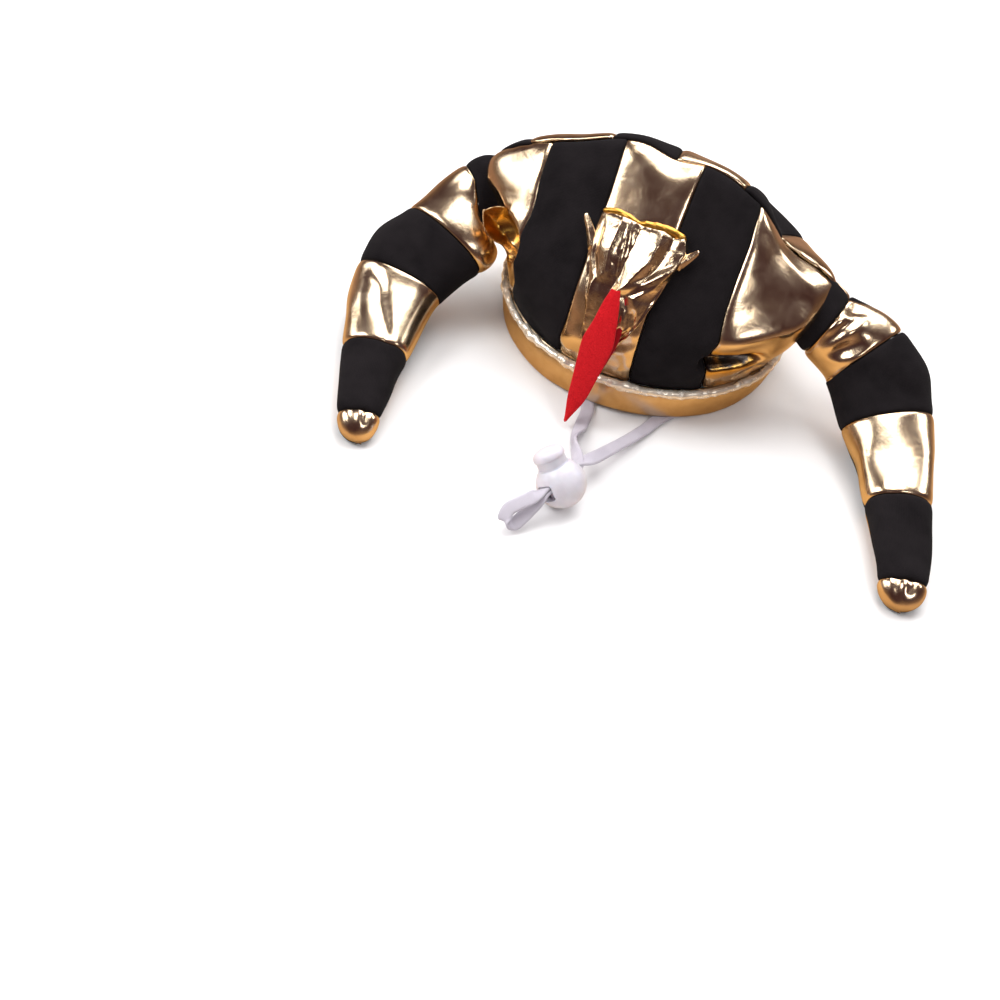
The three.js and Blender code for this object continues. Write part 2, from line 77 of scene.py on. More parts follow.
# Rows up a panel, columns across it, and the wall of its cloth
CROWN_ROWS = 64
CROWN_TURN = 104
CROWN_WALL = 0.9
# Rough length of a panel from the rim to the ridge
PANEL_LENGTH = 50
# Cloth is pushed away from this height on the crown's axis, with its rise counted less
FOLD_CENTRE = 30
FOLD_FLATTEN = 0.7
# How far a panel's edge turns in at a seam
HEM_DEPTH = 1.6
# Depth and reach of the grooves at the sewn seams and at the ridge
SEAM_GROOVE = (0.55, 0.9)
RIDGE_GROOVE = (0.5, 1.2)
# Seams of the two panels, by x, and the colours between them from left to right
FRONT_SEAMS = [-39.5, -17, 7.5, 29.5]
BACK_SEAMS = [-45, -22, -2, 22, 43]
FRONT_COLOURS = ["gold", "black", "gold", "black", "gold"]
BACK_COLOURS = ["black", "gold", "black", "gold", "black", "gold"]

# Soft dents and swells of the crown: x, y, height, reach, lift (minus is in)
CROWN_SWELLS = [
    (-50, -16, 21, 9, -3.5),
    (45, -22, 18, 8, -2.5),
    (47, -24, 29, 11, 3),
    (-2, 0, 70, 7, -2),
    (12, 0, 70, 8, 1.2),
    (-16, 0, 70, 8, 1.2),
    (46, 0, 54, 13, -6),
    (30, 0, 64, 9, -1.2),
    (0, 36, 36, 15, -2),
    (-54, -3, 44, 10, 5.5),
    (-50, -9, 46, 8, 1.5),
    (-45, 2, 53, 12, 4.2),
    (-14, 0, 70, 20, 1.8),
    (53, -2, 42, 9, 4.0),
    (56, 5, 45, 8, 3.5),
    (52, -10, 36, 8, 1.5),
    (39, 11, 53, 9, -4.5),
    (36, -36, 32, 6, 1.2),
]
# Uneven padding of the crown: lift, stretch of x, y and height, size and seed of the ripple
CROWN_RIPPLES = [(0.2, (1, 1, 0.45), 17, 3), (0.05, (1, 1, 1), 9, 5)]
# Crumpled cloth where the hood sits: its middle and reach
HOOD_SEAT = (4, -40, 27)
HOOD_SEAT_REACH = 10
# Heights where the folds of the crown begin above the rim, and where its gathers are deepest
FOLDS_FROM = 12.5
FOLDS_FADE = 4.5
GATHER_HEIGHT = 15
GATHER_REACH = 4

# Creases of the crown: a line of x, y, height, then half width and lift
CROWN_CREASES = [
    ([(27.5, -37, 34), (43, -24, 38), (55, -11, 39)], 3.2, 3.2),
    ([(28, -38, 29.5), (38, -32, 30.5), (47, -24, 32)], 2.4, -1.4),
    ([(27, -41, 20.5), (38, -34, 20.5), (46, -26, 22)], 2.2, 1.6),
    ([(-60, -9, 38.5), (-50, -14, 40), (-41, -23, 43)], 2.4, 1.8),
    ([(-41, -23, 43), (-38.5, -29, 36), (-39, -31, 28)], 2.2, 1.4),
    ([(-44, -25, 32), (-40, -31, 20)], 2.2, -1.6),
    ([(31, -4, 62), (42, -6, 53), (50, -8, 45)], 1.6, 0.9),
    ([(-36, -8, 57), (-41, -13, 48), (-43, -17, 42)], 2.4, 0.7),
    ([(-18, -41, 18.5), (-13, -42.3, 22.5), (-7.5, -43, 27)], 3.6, 1.6),
    ([(-14, 30, 47), (-4, 42, 24)], 3.0, -0.9),
    ([(16, 26, 50), (28, 36, 26)], 3.0, -0.8),
    ([(-34, 18, 46), (-36, 30, 24)], 2.6, 0.8),
]
# Pockets of the crown: a line, half width, width of the edge, lift
CROWN_POCKETS = [
    ([(-51, -12, 37), (-46.5, -18.5, 35.5), (-44, -23, 34.5)], 2.2, 5.0, -5.5),
    ([(30, -38, 25.5), (38, -32.5, 26), (44, -27.5, 27)], 2.2, 1.4, -5),
]
# Painted shade where the foil only sees itself: x, y, height, reach, and depth (0.5 painted amber
# inter-reflection, 1 painted dark shade)
PAINTED_FOLD_SHADE = [
    (-47, -17, 35, 8, 0.5),
    (-43, -22, 26, 5, 0.5),
    (29.5, -34, 25.8, 5.6, 1.0),
    (34, -30.5, 26, 5.6, 1.0),
    (38, -27.5, 26.6, 4.8, 1.0),
]
# Funnel of cloth between the crown and the left lappet: its middle, the ways to its right, up
# and out, its lip in millimetres to the right and up, its depth, and its rings from lip to bottom
FUNNEL = (-46.4, -20.8, 36.4)
FUNNEL_RIGHT = (0.934, 0.3025, 0.192)
FUNNEL_UP = (-0.34, 0.579, 0.7415)
FUNNEL_OUT = (0.113, -0.757, 0.643)
FUNNEL_LIP = [(-6.6, 6.2), (-2.3, 7.4), (2.9, 5.9), (6.2, 2.0), (6.9, -3.0), (4.9, -8.2),
              (1.8, -7.4), (-0.6, -4.6), (-3.3, -3.2), (-6.2, 0.4)]
FUNNEL_DEPTH = 5.6
FUNNEL_RINGS = [-0.12, -0.04, 0, 0.03, 0.08, 0.15, 0.25, 0.4, 0.55, 0.7, 0.85, 0.97]
FUNNEL_TURN = 64

# Lappets, a row for each stripe seam: reach, forward, height, width, thickness, lean in degrees
LAPPETS = {
    "left": [
        (40, -4, 37, 15, 9, 15),
        (59.5, 3, 29, 27, 20, 25),
        (66, 19, 22.5, 31, 20, 52),
        (73.2, 36.5, 14, 30.6, 19, 70),
        (69.2, 64.5, 8, 22, 15, 82),
        (63.4, 90.5, 5.4, 13.8, 10.4, 88),
        (60, 97.5, 1.4, 0.3, 0.3, 90),
    ],
    "right": [
        (40, 0, 38, 15, 9, 15),
        (58.5, 4, 31, 24, 20, 25),
        (73, 5.5, 25, 30, 20, 48),
        (87, 19.5, 14, 31, 19, 70),
        (99, 47.5, 8, 22.4, 15, 82),
        (107.9, 76.5, 5.4, 15.6, 10.4, 88),
        (109.4, 84, 1.4, 0.3, 0.3, 90),
    ],
}
OUTWARD = {"left": -1, "right": 1}
# Rows of each stripe, columns of each face, how square its section is, and the cloth's wall
LAPPET_ROWS = [16, 18, 22, 24, 22, 12]
LAPPET_HALF = 32
LAPPET_FULLNESS = 0.9
LAPPET_WALL = 0.8
# How far the front face wraps round the outer and the inner edge, in radians
LAPPET_WRAP = (-0.18, 0.28)
# How much slimmer the cloth is drawn before it is filled
LAPPET_SLIM = 0.97
# How far the first seam runs out along the lappet at its inner side, and over how many rows
ROOT_SKEW = {"left": 4.5, "right": 0.5}
SKEW_ROWS = 9
# Depth and reach, in rows or columns, of the grooves at the stripe seams and at the edges
STRIPE_GROOVE = (0.5, 0.8)
EDGE_GROOVE = (0.35, 0.7)
# Filling of the lappets: cloth settings, how firmly each place is held, the frames it takes,
# the farthest that cloth may move, and how often the movement is evened out
FILLING = {
    "quality": 6,
    "mass": 0.1,
    "tension_stiffness": 30,
    "compression_stiffness": 30,
    "shear_stiffness": 12,
    "bending_stiffness": 2.0,
    "use_pressure": True,
    "uniform_pressure_force": 3.0,
    "shrink_min": -0.03,
    "vertex_group_mass": "hold",
}
CLOTH_HOLD = 0.02
SEAM_HOLD = 0.75
ROOT_HOLD = 1.0
ROOT_ROWS = 6
FLOOR_HOLD = 0.6
FLOOR_TOUCH = 0.0008
PUFF_FRAMES = 21
PUFF_CAP = 2.2
PUFF_EASE = 14
# Least height of the lappets' cloth before and after its folds
LAPPET_CLEAR = (0.3, 0.25)
# Swells of the lappets: x, y, height, reach, lift
LAPPET_SWELLS = {
    "left": [(-60, 0, 43, 8, 4.6), (-83, -27, 23, 8, 2.2), (-53, -18, 22, 7, 3.0)],
    "right": [(58, 3, 44, 8, 3.4), (65, -2, 42.5, 7, -4.0), (90, -5, 25, 8, 2.4)],
}
# Creases of the lappets: a line of x, y, height, then half width and lift
LAPPET_CREASES = {
    "left": [
        ([(-84.3, -39.6, 20.8), (-77, -46, 20), (-73.8, -52.3, 18.7), (-64, -66, 14.5)],
         2.4, -1.1),
        ([(-82, -47, 17), (-77, -56, 15), (-71, -66, 12)], 2.4, 0.6),
        ([(-70, -12, 33), (-62, -20, 27), (-57, -26, 20)], 2.6, 0.7),
        ([(-66.5, -89, 10), (-64, -94, 8.5), (-61.5, -97.5, 5)], 1.8, -0.9),
        ([(-60.5, -90, 10.5), (-60, -95, 8)], 1.6, -0.7),
    ],
    "right": [
        ([(59, -13.7, 33.7), (63.9, -9.2, 39.2), (70.6, -2.4, 39.8)], 2.2, 0.9),
        ([(60, -14.3, 31.7), (64.6, -10.5, 37.6), (68.5, -5, 39.8)], 2.0, -1.1),
        ([(61, -14.8, 29.6), (65.4, -11.6, 35.9), (70, -5.1, 39.6)], 2.2, 1.0),
        ([(64, -15, 29.5), (68, -13.3, 32.3), (71.5, -10, 34.5)], 2.6, -1.3),
        ([(62, -15.6, 27), (67, -15.2, 28.5), (72.5, -13, 31.2)], 2.0, 0.8),
        ([(92, -36, 21), (95, -46, 17), (97, -58, 15)], 2.2, -0.8),
        ([(76, -14, 30), (86, -16, 27), (95, -15, 22)], 2.6, -0.7),
        ([(104.5, -75, 10.5), (106.5, -80, 9), (108.5, -84, 5)], 1.8, -0.9),
        ([(111, -76.5, 10), (110.5, -82, 7.5)], 1.6, -0.7),
    ],
}
FRONT_STRIPES = ["black", "gold", "black", "gold", "black", "gold"]
BACK_STRIPES = ["gold", "black", "gold", "black", "gold", "black"]

# Rim band, with its section as distance out and height
RIM_HALF_WIDTH = 46.3
RIM_HALF_DEPTH = 43.5
RIM_STEPS = 400
RIM_SECTION = [
    (-2.0, 0.0), (-0.9, -0.1), (0.2, 0.0), (0.55, 1.2), (0.8, 3.2), (0.95, 5.4), (0.8, 7.6),
    (0.35, 9.4), (-0.2, 11.0), (-0.9, 12.2), (-2.0, 12.4), (-2.1, 9.5), (-2.1, 4.5),
]
# Arch of the rim's front edge: x of its middle, half width, rise, and power of its curve
RIM_ARCH = (8, 26, 1.9, 0.8)
# How far the rim's lower edge draws in at the right and at the left, and up to what height
RIM_DRAW_IN = (2.2, 1.0)
DRAW_IN_HEIGHT = 9
# Crumpled place on the rim under the hood: its middle and reach
RIM_CRUMPLE = (1, -44.5, 8.5)
RIM_CRUMPLE_REACH = 6
# Gathered seam along the top of the rim
BEAD_OUT = 0.7
BEAD_HEIGHT = 11.9
BEAD_RADIUS = 1.6
BEAD_TURN = 16

# Cobra hood: height, left, right, lift
HOOD = [
    (22.5, -8, -2.5, 1.6),
    (26, -9.9, 1.2, 2.4),
    (33.3, -10.6, 4.8, 3.0),
    (36, -11.5, 6.1, 3.2),
    (42, -13.8, 8.2, 3.6),
    (44.8, -15.6, 9.2, 4.4),
    (48.6, -16.9, 10.6, 5.2),
    (52.4, -16.8, 12.4, 5.2),
    (54.8, -16.4, 11.4, 4.4),
    (55.6, -16.0, 10.4, 3.8),
]
HOOD_COLUMNS = 84
HOOD_ROWS = 84
# Wall of the hood and the funnel, how far the hood's edge stands off, and the least that it does
FOIL_WALL = 0.6
HOOD_EDGE = 1.6
HOOD_LEAST = 0.6
# Pleats of the hood: height, depth, and the x of each turn from the left edge to the right
HOOD_PLEATS = [
    (22.5, 0.4, -8, -7.2, -6, -4.6, -3.6, -3.0, -2.5),
    (29, 0.35, -10.4, -10.0, -6.4, -1.6, 0.2, 2.0, 2.8),
    (34, 0.4, -10.7, -10.2, -5.6, 0.4, 2.2, 4.2, 5.2),
    (38, 0.5, -12.2, -11.2, -6.0, -1.4, 1.6, 4.6, 6.7),
    (41.5, 0.6, -13.6, -11.2, -5.2, -3.6, -1.0, 1.6, 8.0),
    (44.5, 0.9, -15.4, -8.0, -4.4, -0.8, 2.2, 6.0, 9.1),
    (49, 1.2, -16.9, -8.8, -3.6, 2.4, 5.2, 9.6, 10.8),
    (53, 1.2, -16.8, -8.6, -3.2, 3.4, 6.4, 11.0, 12.2),
    (55.6, 0.9, -16, -8.4, -3.0, 3.4, 6.4, 9.4, 10.4),
]
HOOD_TURNS = (-0.7, 1, -1, 1, -1, 1, -0.5)
# Small folds of the hood: a line of x and height, then half width and lift
HOOD_FOLDS = [
    ([(-6.4, 55.6), (-5.4, 50), (-4.4, 44)], 0.7, 0.5),
    ([(11.6, 50.6), (5.6, 46.6), (0.2, 43.2), (-3.5, 41.8)], 1.2, 0.9),
    ([(-13.6, 53), (-13.2, 47), (-10.4, 43)], 0.9, -0.5),
    ([(9.6, 47), (6, 35.8), (2, 28)], 0.8, 0.8),
    ([(-15.6, 46), (-12.2, 38), (-10.4, 31)], 0.8, 0.8),
    ([(-10.6, 44.5), (-11.2, 41), (-10.6, 36), (-9.8, 29)], 0.8, 0.25),
    ([(0.5, 38), (2, 33), (-1, 27)], 1.0, 0.8),
    ([(3.5, 38), (4.5, 34), (1.5, 30)], 0.9, -0.7),
]
# Crinkled strip where the hood is stitched: x at a height, slant, half width, lowest height
STITCHES = (-5.2, 50, 0.2, 2.2, 44)
# Ears at the hood's top corners: a line of x and height, then width
HOOD_EARS = [
    ([(-14.8, 48.0), (-17.0, 50.6), (-19.8, 53.0)], 2.4),
    ([(10.4, 50.8), (12.4, 52.0), (14.6, 53.8)], 2.4),
]
EAR_TIP = 1.2
EAR_LIFT = 3.6
EAR_BEND = 0.5
# Roll of lining along the hood's top: a line of x and height, then its radius and lift
HOOD_ROLL = [(-15.8, 55.4), (-11, 56.3), (-5, 55.9), (1, 56.5), (7.3, 56.2), (10.2, 55.2)]
ROLL_RADIUS = 1.35
ROLL_LIFT = 2.0
ROLL_STEPS = 60
ROLL_TURN = 16
# Place where the roll is nipped: x, reach, share of its radius
ROLL_NIP = (-4.5, 1.2, 0.45)

# Tongue: x, forward, height, width
TONGUE = [
    (-3.8, 39.4, 44.6, 3.0),
    (-3.7, 42.6, 40.5, 5.8),
    (-3.6, 45.6, 35.5, 7.8),
    (-4.0, 48.4, 29, 10.7),
    (-4.6, 51.4, 19.5, 8.2),
    (-5.4, 54.6, 10, 6.0),
    (-6.6, 57.2, 2.2, 0.6),
]
# Rows and columns of the tongue, and the wall of its felt
TONGUE_STEPS = 60
TONGUE_COLUMNS = 14
FELT_WALL = 1.2

# Cord lock: x, forward and height of its middle, then radii and rises along the way it is pressed
LOCK_CENTRE = (2.4, 89.3, 7.7)
LOCK_RADIUS = 7.7
LOCK_BORE = 4.9
LOCK_FLOOR = -5.6
LOCK_MOUTH = 6.2
SLOT_WIDTH = 5.6
SLOT_HEIGHT = 5.0
PLUNGER_RADIUS = 4.6
PLUNGER_FOOT = -3.2
PLUNGER_NECK = 8.7
PLUNGER_HEAD = 5.0
PLUNGER_TOP = 11.6
PLUNGER_ROUND = 2.2
PLUNGER_TRAVEL = 2.1
SLOT_CORNER = 1.1
LOCK_TURN = 72
BEVEL_ANGLE = 35
CORD_AXIS = Vector((0.325, 0.946, 0)).normalized()
PRESS_AXIS = Vector((-0.65, 0.18, 0.74))

# Chin elastic, with its section in shares of half its width and half its thickness
ELASTIC_WIDTH = 4.2
ELASTIC_THICK = 1.0
ELASTIC_STEPS = 360
ELASTIC_SECTION = [
    (-1, -0.3), (-0.94, -0.9), (-0.6, -1), (0, -1), (0.6, -1), (0.94, -0.9), (1, -0.3),
    (1, 0.3), (0.94, 0.9), (0.6, 1), (0, 1), (-0.6, 1), (-0.94, 0.9), (-1, 0.3),
]
# Ways across the flat of the elastic
SIDEWAYS = (1, 0, 0)
UPRIGHT = (0, 0, 1)
LEFT_SLANT = (0.75, 0.66, 0)
RIGHT_SLANT = (0.75, -0.66, 0)
LOCK_SIDE = (0.7, -0.24, 0.673)
TAIL_SIDE = (0.86, -0.33, -0.38)
# Route of the elastic: x, forward, height, and the way across its flat
ELASTIC = [
    (-43, -1, 6.5, UPRIGHT),
    (-42.3, 5, 5.4, UPRIGHT),
    (-38.6, 14, 2.6, LEFT_SLANT),
    (-31, 24, 0.8, LEFT_SLANT),
    (-18, 34.5, 0.7, LEFT_SLANT),
    (-6.5, 40, 0.7, SIDEWAYS),
    (-2.6, 46, 0.7, SIDEWAYS),
    (-1.6, 55, 1.1, SIDEWAYS),
    (-0.8, 66, 3.4, UPRIGHT),
    (3.2, 76, 6.9, LOCK_SIDE),
    (4.67, 81.7, 8, LOCK_SIDE),
    (2.14, 89.23, 8, LOCK_SIDE),
    (-0.38, 96.75, 8, LOCK_SIDE),
    (-2, 100.4, 6.2, TAIL_SIDE),
    (-3.8, 104, 3.7, TAIL_SIDE),
    (-5.8, 107.2, 2.2, TAIL_SIDE),
    (-8.2, 108.3, 3.8, TAIL_SIDE),
    (-8.2, 106.2, 6.4, TAIL_SIDE),
    (-5.7, 103.4, 8, TAIL_SIDE),
    (-3.2, 100.4, 8.8, TAIL_SIDE),
    (-1.23, 96.51, 8.96, LOCK_SIDE),
    (1.3, 88.99, 8.96, LOCK_SIDE),
    (3.82, 81.47, 8.96, LOCK_SIDE),
    (7.6, 74, 7.4, TAIL_SIDE),
    (12.2, 60, 3.2, SIDEWAYS),
    (16.6, 48, 0.9, SIDEWAYS),
    (20, 39, 0.7, RIGHT_SLANT),
    (28, 27, 0.8, RIGHT_SLANT),
    (37.6, 15, 2.4, RIGHT_SLANT),
    (42.3, 5, 5.4, UPRIGHT),
    (43, -1, 6.5, UPRIGHT),
]

# Softboxes, in metres and watts: name, place, size, power
SOFTBOXES = [
    ("back window", (-0.04, 0.85, 0.92), (1.0, 0.55), 12),
    ("left window", (-1.15, -0.15, 0.62), (1.0, 0.42), 4.5),
    ("high left window", (-0.76, -0.32, 0.94), (0.55, 0.42), 6),
    ("overhead", (-0.03, 0.26, 1.15), (0.66, 0.5), 5.5),
    ("right front", (0.573, -0.471, 0.878), (0.22, 0.22), 1.3),
    ("right back", (0.756, 0.644, 0.678), (0.34, 0.3), 2.6),
]
# Even light from above: strength, spread and tilt in degrees
FILL_STRENGTH = 1.5
FILL_SPREAD = 110
FILL_TILT = (18, -10, 0)
# Room as the foil sees it: its tone level with the floor, and above a share of the way up
ROOM_LOW = (0.22, 0.14, 0.09)
ROOM_HIGH = (0.060, 0.027, 0.032)
ROOM_RISE = 0.4
# Floor: radius and depth under the rim, its grey, and its tones for the foil near by and far off
FLOOR_RADIUS = 8.0
FLOOR_DROP = 0.0002
FLOOR_GREY = (0.84, 0.84, 0.84, 1)
FLOOR_NEAR = (0.62, 0.40, 0.18)
FLOOR_FAR = (0.20, 0.12, 0.08)
FLOOR_TONES = (0.08, 0.17)


# Tables and curves
def row_frame(points):
    """Hat millimetres (x, y, height) to metres in the row frame."""
    return np.asarray(points, float) * MM + HAT


def curve(points, places):
    """A smooth line through points, read at places counted in points."""
    rows = np.asarray(points, float)
    last = len(rows) - 1
    rows = np.vstack([2 * rows[0] - rows[1], rows, 2 * rows[-1] - rows[-2]])
    places = np.clip(np.asarray(places, float), 0, last)
    at = np.minimum(places.astype(int), last - 1)
    share = (places - at)[:, None]
    a, b, c, d = rows[at], rows[at + 1], rows[at + 2], rows[at + 3]
    ab, bc, cd = (np.sqrt(np.linalg.norm(q - p, axis=1))[:, None]
                  for p, q in ((a, b), (b, c), (c, d)))
    leave = ((b - a) / ab - (c - a) / (ab + bc) + (c - b) / bc) * bc
    enter = ((c - b) / bc - (d - b) / (bc + cd) + (d - c) / cd) * bc
    cube = 2 * b - 2 * c + leave + enter
    square = -3 * b + 3 * c - 2 * leave - enter
    return cube * share**3 + square * share**2 + leave * share + b


def column(rows, place, value):
    """One column of a table, straight between its rows, by the first column."""
    table = np.asarray(rows, float)
    return np.interp(place, table[:, 0], table[:, value])


def running(steps):
    """The sum of steps up to each place, from 0."""
    return np.concatenate([[0], np.cumsum(steps)])


def unit(vectors):
    return vectors / np.maximum(np.linalg.norm(vectors, axis=-1, keepdims=True), 1e-9)


def ripple(points, size, seed, waves=7):
    """A gentle uneven rise and fall over points in millimetres, about -1 to 1."""
    draw = np.random.RandomState(seed)
    total = np.zeros(points.shape[:-1])
    for _ in range(waves):
        way = unit(draw.normal(size=3)) * draw.uniform(0.7, 1.4) * 2 * math.pi / size
        total += np.sin(points @ way + draw.uniform(0, 2 * math.pi))
    return total / math.sqrt(waves)


def crumple(points, size, seed, waves=6):
    """Sharp crests and flat facets over points in millimetres, about -1 to 1."""
    draw = np.random.RandomState(seed)
    total = np.zeros(points.shape[:-1])
    for _ in range(waves):
        way = unit(draw.normal(size=3)) * draw.uniform(0.6, 1.5) * math.pi / size
        total += 1 - 2 * np.abs(np.sin(points @ way + draw.uniform(0, math.pi)))
    return total / math.sqrt(waves)


def groove(away, depth, reach):
    """How deep a sewn line lies at a distance away from it."""
    return depth * np.exp(-((away / reach) ** 2))


def bump_at(points, centre, reach):
    return np.exp(-np.sum((points - np.asarray(centre, float)) ** 2, axis=-1) / reach**2)


def fold_line(points, line):
    """How far points lie from a broken line, and how far along it they are, 0 to 1."""
    stops = np.asarray(line, float)
    spans = np.linalg.norm(np.diff(stops, axis=0), axis=1)
    run = running(spans) / spans.sum()
    nearest = np.full(points.shape[:-1], np.inf)
    place = np.zeros(points.shape[:-1])
    for i, way in enumerate(np.diff(stops, axis=0)):
        share = np.clip((points - stops[i]) @ way / (way @ way), 0, 1)
        away = np.linalg.norm(points - stops[i] - share[..., None] * way, axis=-1)
        place = np.where(away < nearest, run[i] + share * (run[i + 1] - run[i]), place)
        nearest = np.minimum(away, nearest)
    return nearest, place


def crease(points, line, half_width):
    """A crisp fold along a broken line, fading at its ends and sides."""
    away, place = fold_line(points, line)
    blunt = 0.35 * half_width
    steep = (np.sqrt(away**2 + blunt**2) - blunt) / half_width
    return np.exp(-(steep**1.4)) * np.minimum(1, 0.35 + 3 * np.minimum(place, 1 - place))


def pleat(points, line, half_width):
    """A fold with flat sides along a broken line."""
    away, place = fold_line(points, line)
    blunt = 0.15 * half_width
    slope = np.clip(1 - (np.sqrt(away**2 + blunt**2) - blunt) / half_width, 0, 1)
    return slope * np.minimum(1, 0.3 + 4 * np.minimum(place, 1 - place))


def pocket(points, line, half_width, edge):
    """A hollow along a broken line: 1 inside, falling to 0 over its edge."""
    away, _ = fold_line(points, line)
    share = np.clip((half_width + edge - away) / edge, 0, 1)
    return share**2 * (3 - 2 * share)


# Meshes
def patch(points, closed=False):
    """A grid moved to points (rows, columns, xyz) in metres, with its own UV map."""
    rows, columns = points.shape[:2]
    mesh = bmesh.new()
    bmesh.ops.create_grid(mesh, x_segments=columns - 1, y_segments=rows - 1, size=0.5)
    run = running(np.linalg.norm(np.diff(points, axis=0), axis=2).mean(1))
    girth = running(np.linalg.norm(np.diff(points, axis=1), axis=2).mean(0))
    uv = mesh.loops.layers.uv.new("cloth")
    spots = {}
    for vert in mesh.verts:
        row = round((vert.co.y + 0.5) * (rows - 1))
        col = round((vert.co.x + 0.5) * (columns - 1))
        spots[vert] = (row, col)
    for face in mesh.faces:
        for loop in face.loops:
            row, col = spots[loop.vert]
            loop[uv].uv = (girth[col], run[row])
    for vert, (row, col) in spots.items():
        vert.co = points[row, col]
    if closed:
        bmesh.ops.remove_doubles(mesh, verts=mesh.verts, dist=1e-6)
    return mesh


def close_ends(mesh):
    """Fill the open ends of a tube."""
    bmesh.ops.holes_fill(mesh, edges=[e for e in mesh.edges if e.is_boundary], sides=0)
    bmesh.ops.recalc_face_normals(mesh, faces=mesh.faces)


def hemmed(block, outward, edges):
    """A panel's points with edges turned in, so that it closes against the next panel."""
    inward = -outward * HEM_DEPTH
    first, last, left, right = edges
    top = [block[:1] + inward[:1]] if first else []
    end = [block[-1:] + inward[-1:]] if last else []
    rows = np.concatenate(top + [block] + end, axis=0)
    deep = np.concatenate([inward[:1]] * len(top) + [inward] + [inward[-1:]] * len(end), axis=0)
    one = [rows[:, :1] + deep[:, :1]] if left else []
    two = [rows[:, -1:] + deep[:, -1:]] if right else []
    return np.concatenate(one + [rows] + two, axis=1)


def face_away(mesh, inside):
    """Turn the faces of an open patch so that they look away from a point inside."""
    mesh.normal_update()
    total = sum(f.normal.dot(f.calc_center_median() - inside) * f.calc_area() for f in mesh.faces)
    if total < 0:
        bmesh.ops.reverse_faces(mesh, faces=mesh.faces)


def link_object(name, data):
    made = bpy.data.objects.new(name, data)
    bpy.context.scene.collection.objects.link(made)
    return made


def mesh_object(name, mesh):
    """An object from a bmesh, which is freed."""
    data = bpy.data.meshes.new(name)
    mesh.to_mesh(data)
    mesh.free()
    return link_object(name, data)


def add_piece(name, mesh, material, nodes=(), body=BODY):
    piece = mesh_object(name, mesh)
    for face in piece.data.polygons:
        face.use_smooth = True
    piece.data.materials.append(material)
    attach(piece, body)
    if nodes:
        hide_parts(*nodes)
    return piece


def make_round(piece):
    smooth = piece.modifiers.new("round", "SUBSURF")
    smooth.levels = smooth.render_levels = 1


def thicken(piece, wall):
    """Cloth wall, in millimetres, inwards of the drawn face, then rounded."""
    solid = piece.modifiers.new("wall", "SOLIDIFY")
    solid.thickness = wall * MM
    solid.offset = -1
    make_round(piece)


def paint_fold_shade(piece):
    """Mark how deep each point of a foil piece lies in a shaded fold, for the painted shade of its
    finish.
    """
    marks = piece.data.attributes.new("painted_fold_shade", "FLOAT", "POINT")
    spots = (np.array([vert.co for vert in piece.data.vertices]) - HAT) / MM
    depths = []
    for x, y, z, reach, depth in PAINTED_FOLD_SHADE:
        depths.append(depth * np.clip(1.5 * bump_at(spots, (x, y, z), reach) - 0.25, 0, 1))
    marks.data.foreach_set("value", np.max(depths, axis=0))


# Finishes
def node(tree, kind, place, sockets=None, **values):
    """A shader node with its own settings and the values of its input sockets."""
    made = tree.nodes.new(kind)
    made.location = place
    for key, value in values.items():
        setattr(made, key, value)
    for key, value in (sockets or {}).items():
        made.inputs[key].default_value = value
    return made


def join(tree, *pairs):
    """Link each output to its input."""
    for leave, enter in pairs:
        tree.links.new(leave, enter)


def new_group(name, values, outputs):
    """A node group with a Vector, named values to set, and named values that it puts out."""
    group = bpy.data.node_groups.new(name, "ShaderNodeTree")
    group.interface.new_socket("Vector", in_out="INPUT", socket_type="NodeSocketVector")
    for label, value in values.items():
        socket = group.interface.new_socket(label, in_out="INPUT", socket_type="NodeSocketFloat")
        socket.default_value = value
    for label in outputs:
        group.interface.new_socket(label, in_out="OUTPUT", socket_type="NodeSocketFloat")
    enter = node(group, "NodeGroupInput", (-900, 0))
    leave = node(group, "NodeGroupOutput", (700, 0))
    return group, enter, leave


def mix_values(tree, kind, a, b, place):
    """A sum or product of two values, each a socket or a plain number."""
    made = node(tree, "ShaderNodeMath", place, operation=kind)
    for index, value in enumerate((a, b)):
        if isinstance(value, (int, float)):
            made.inputs[index].default_value = value
        else:
            tree.links.new(value, made.inputs[index])
    return made.outputs[0]


def crinkle_group():
    """Creased foil: Height for bump and Mottle for its uneven tone."""
    scales = {"Crease scale": 160.0, "Grain scale": 900.0}
    group, enter, leave = new_group("foil crinkle", scales, ("Height", "Mottle"))
    soft = node(group, "ShaderNodeTexNoise", (-600, 200), {"Detail": 3.0, "Distortion": 0.8})
    grain = node(group, "ShaderNodeTexNoise", (-600, -150), {"Detail": 2.0})
    for texture, scale in zip((soft, grain), scales):
        join(group, (enter.outputs["Vector"], texture.inputs["Vector"]),
             (enter.outputs[scale], texture.inputs["Scale"]))
    small = mix_values(group, "MULTIPLY", grain.outputs[0], 0.22, (-300, -150))
    height = mix_values(group, "ADD", soft.outputs[0], small, (-100, 100))
    join(group, (height, leave.inputs["Height"]), (soft.outputs[0], leave.inputs["Mottle"]))
    return group


def weave_group():
    """Crossing threads on a UV map: Height for bump and Tone for colour."""
    group, enter, leave = new_group("woven threads", {"Threads": 900.0}, ("Height", "Tone"))
    waves = []
    for way, level in (("X", 150), ("Y", -150)):
        wave = node(group, "ShaderNodeTexWave", (-600, level), {"Distortion": 0.4, "Detail": 1.0},
                    bands_direction=way)
        join(group, (enter.outputs["Vector"], wave.inputs["Vector"]),
             (enter.outputs["Threads"], wave.inputs["Scale"]))
        waves.append(wave.outputs["Fac"])
    height = mix_values(group, "MAXIMUM", *waves, (-300, 0))
    tone = mix_values(group, "MULTIPLY", *waves, (-300, -200))
    join(group, (height, leave.inputs["Height"]), (tone, leave.inputs["Tone"]))
    return group


CRINKLE = crinkle_group()
WEAVE = weave_group()


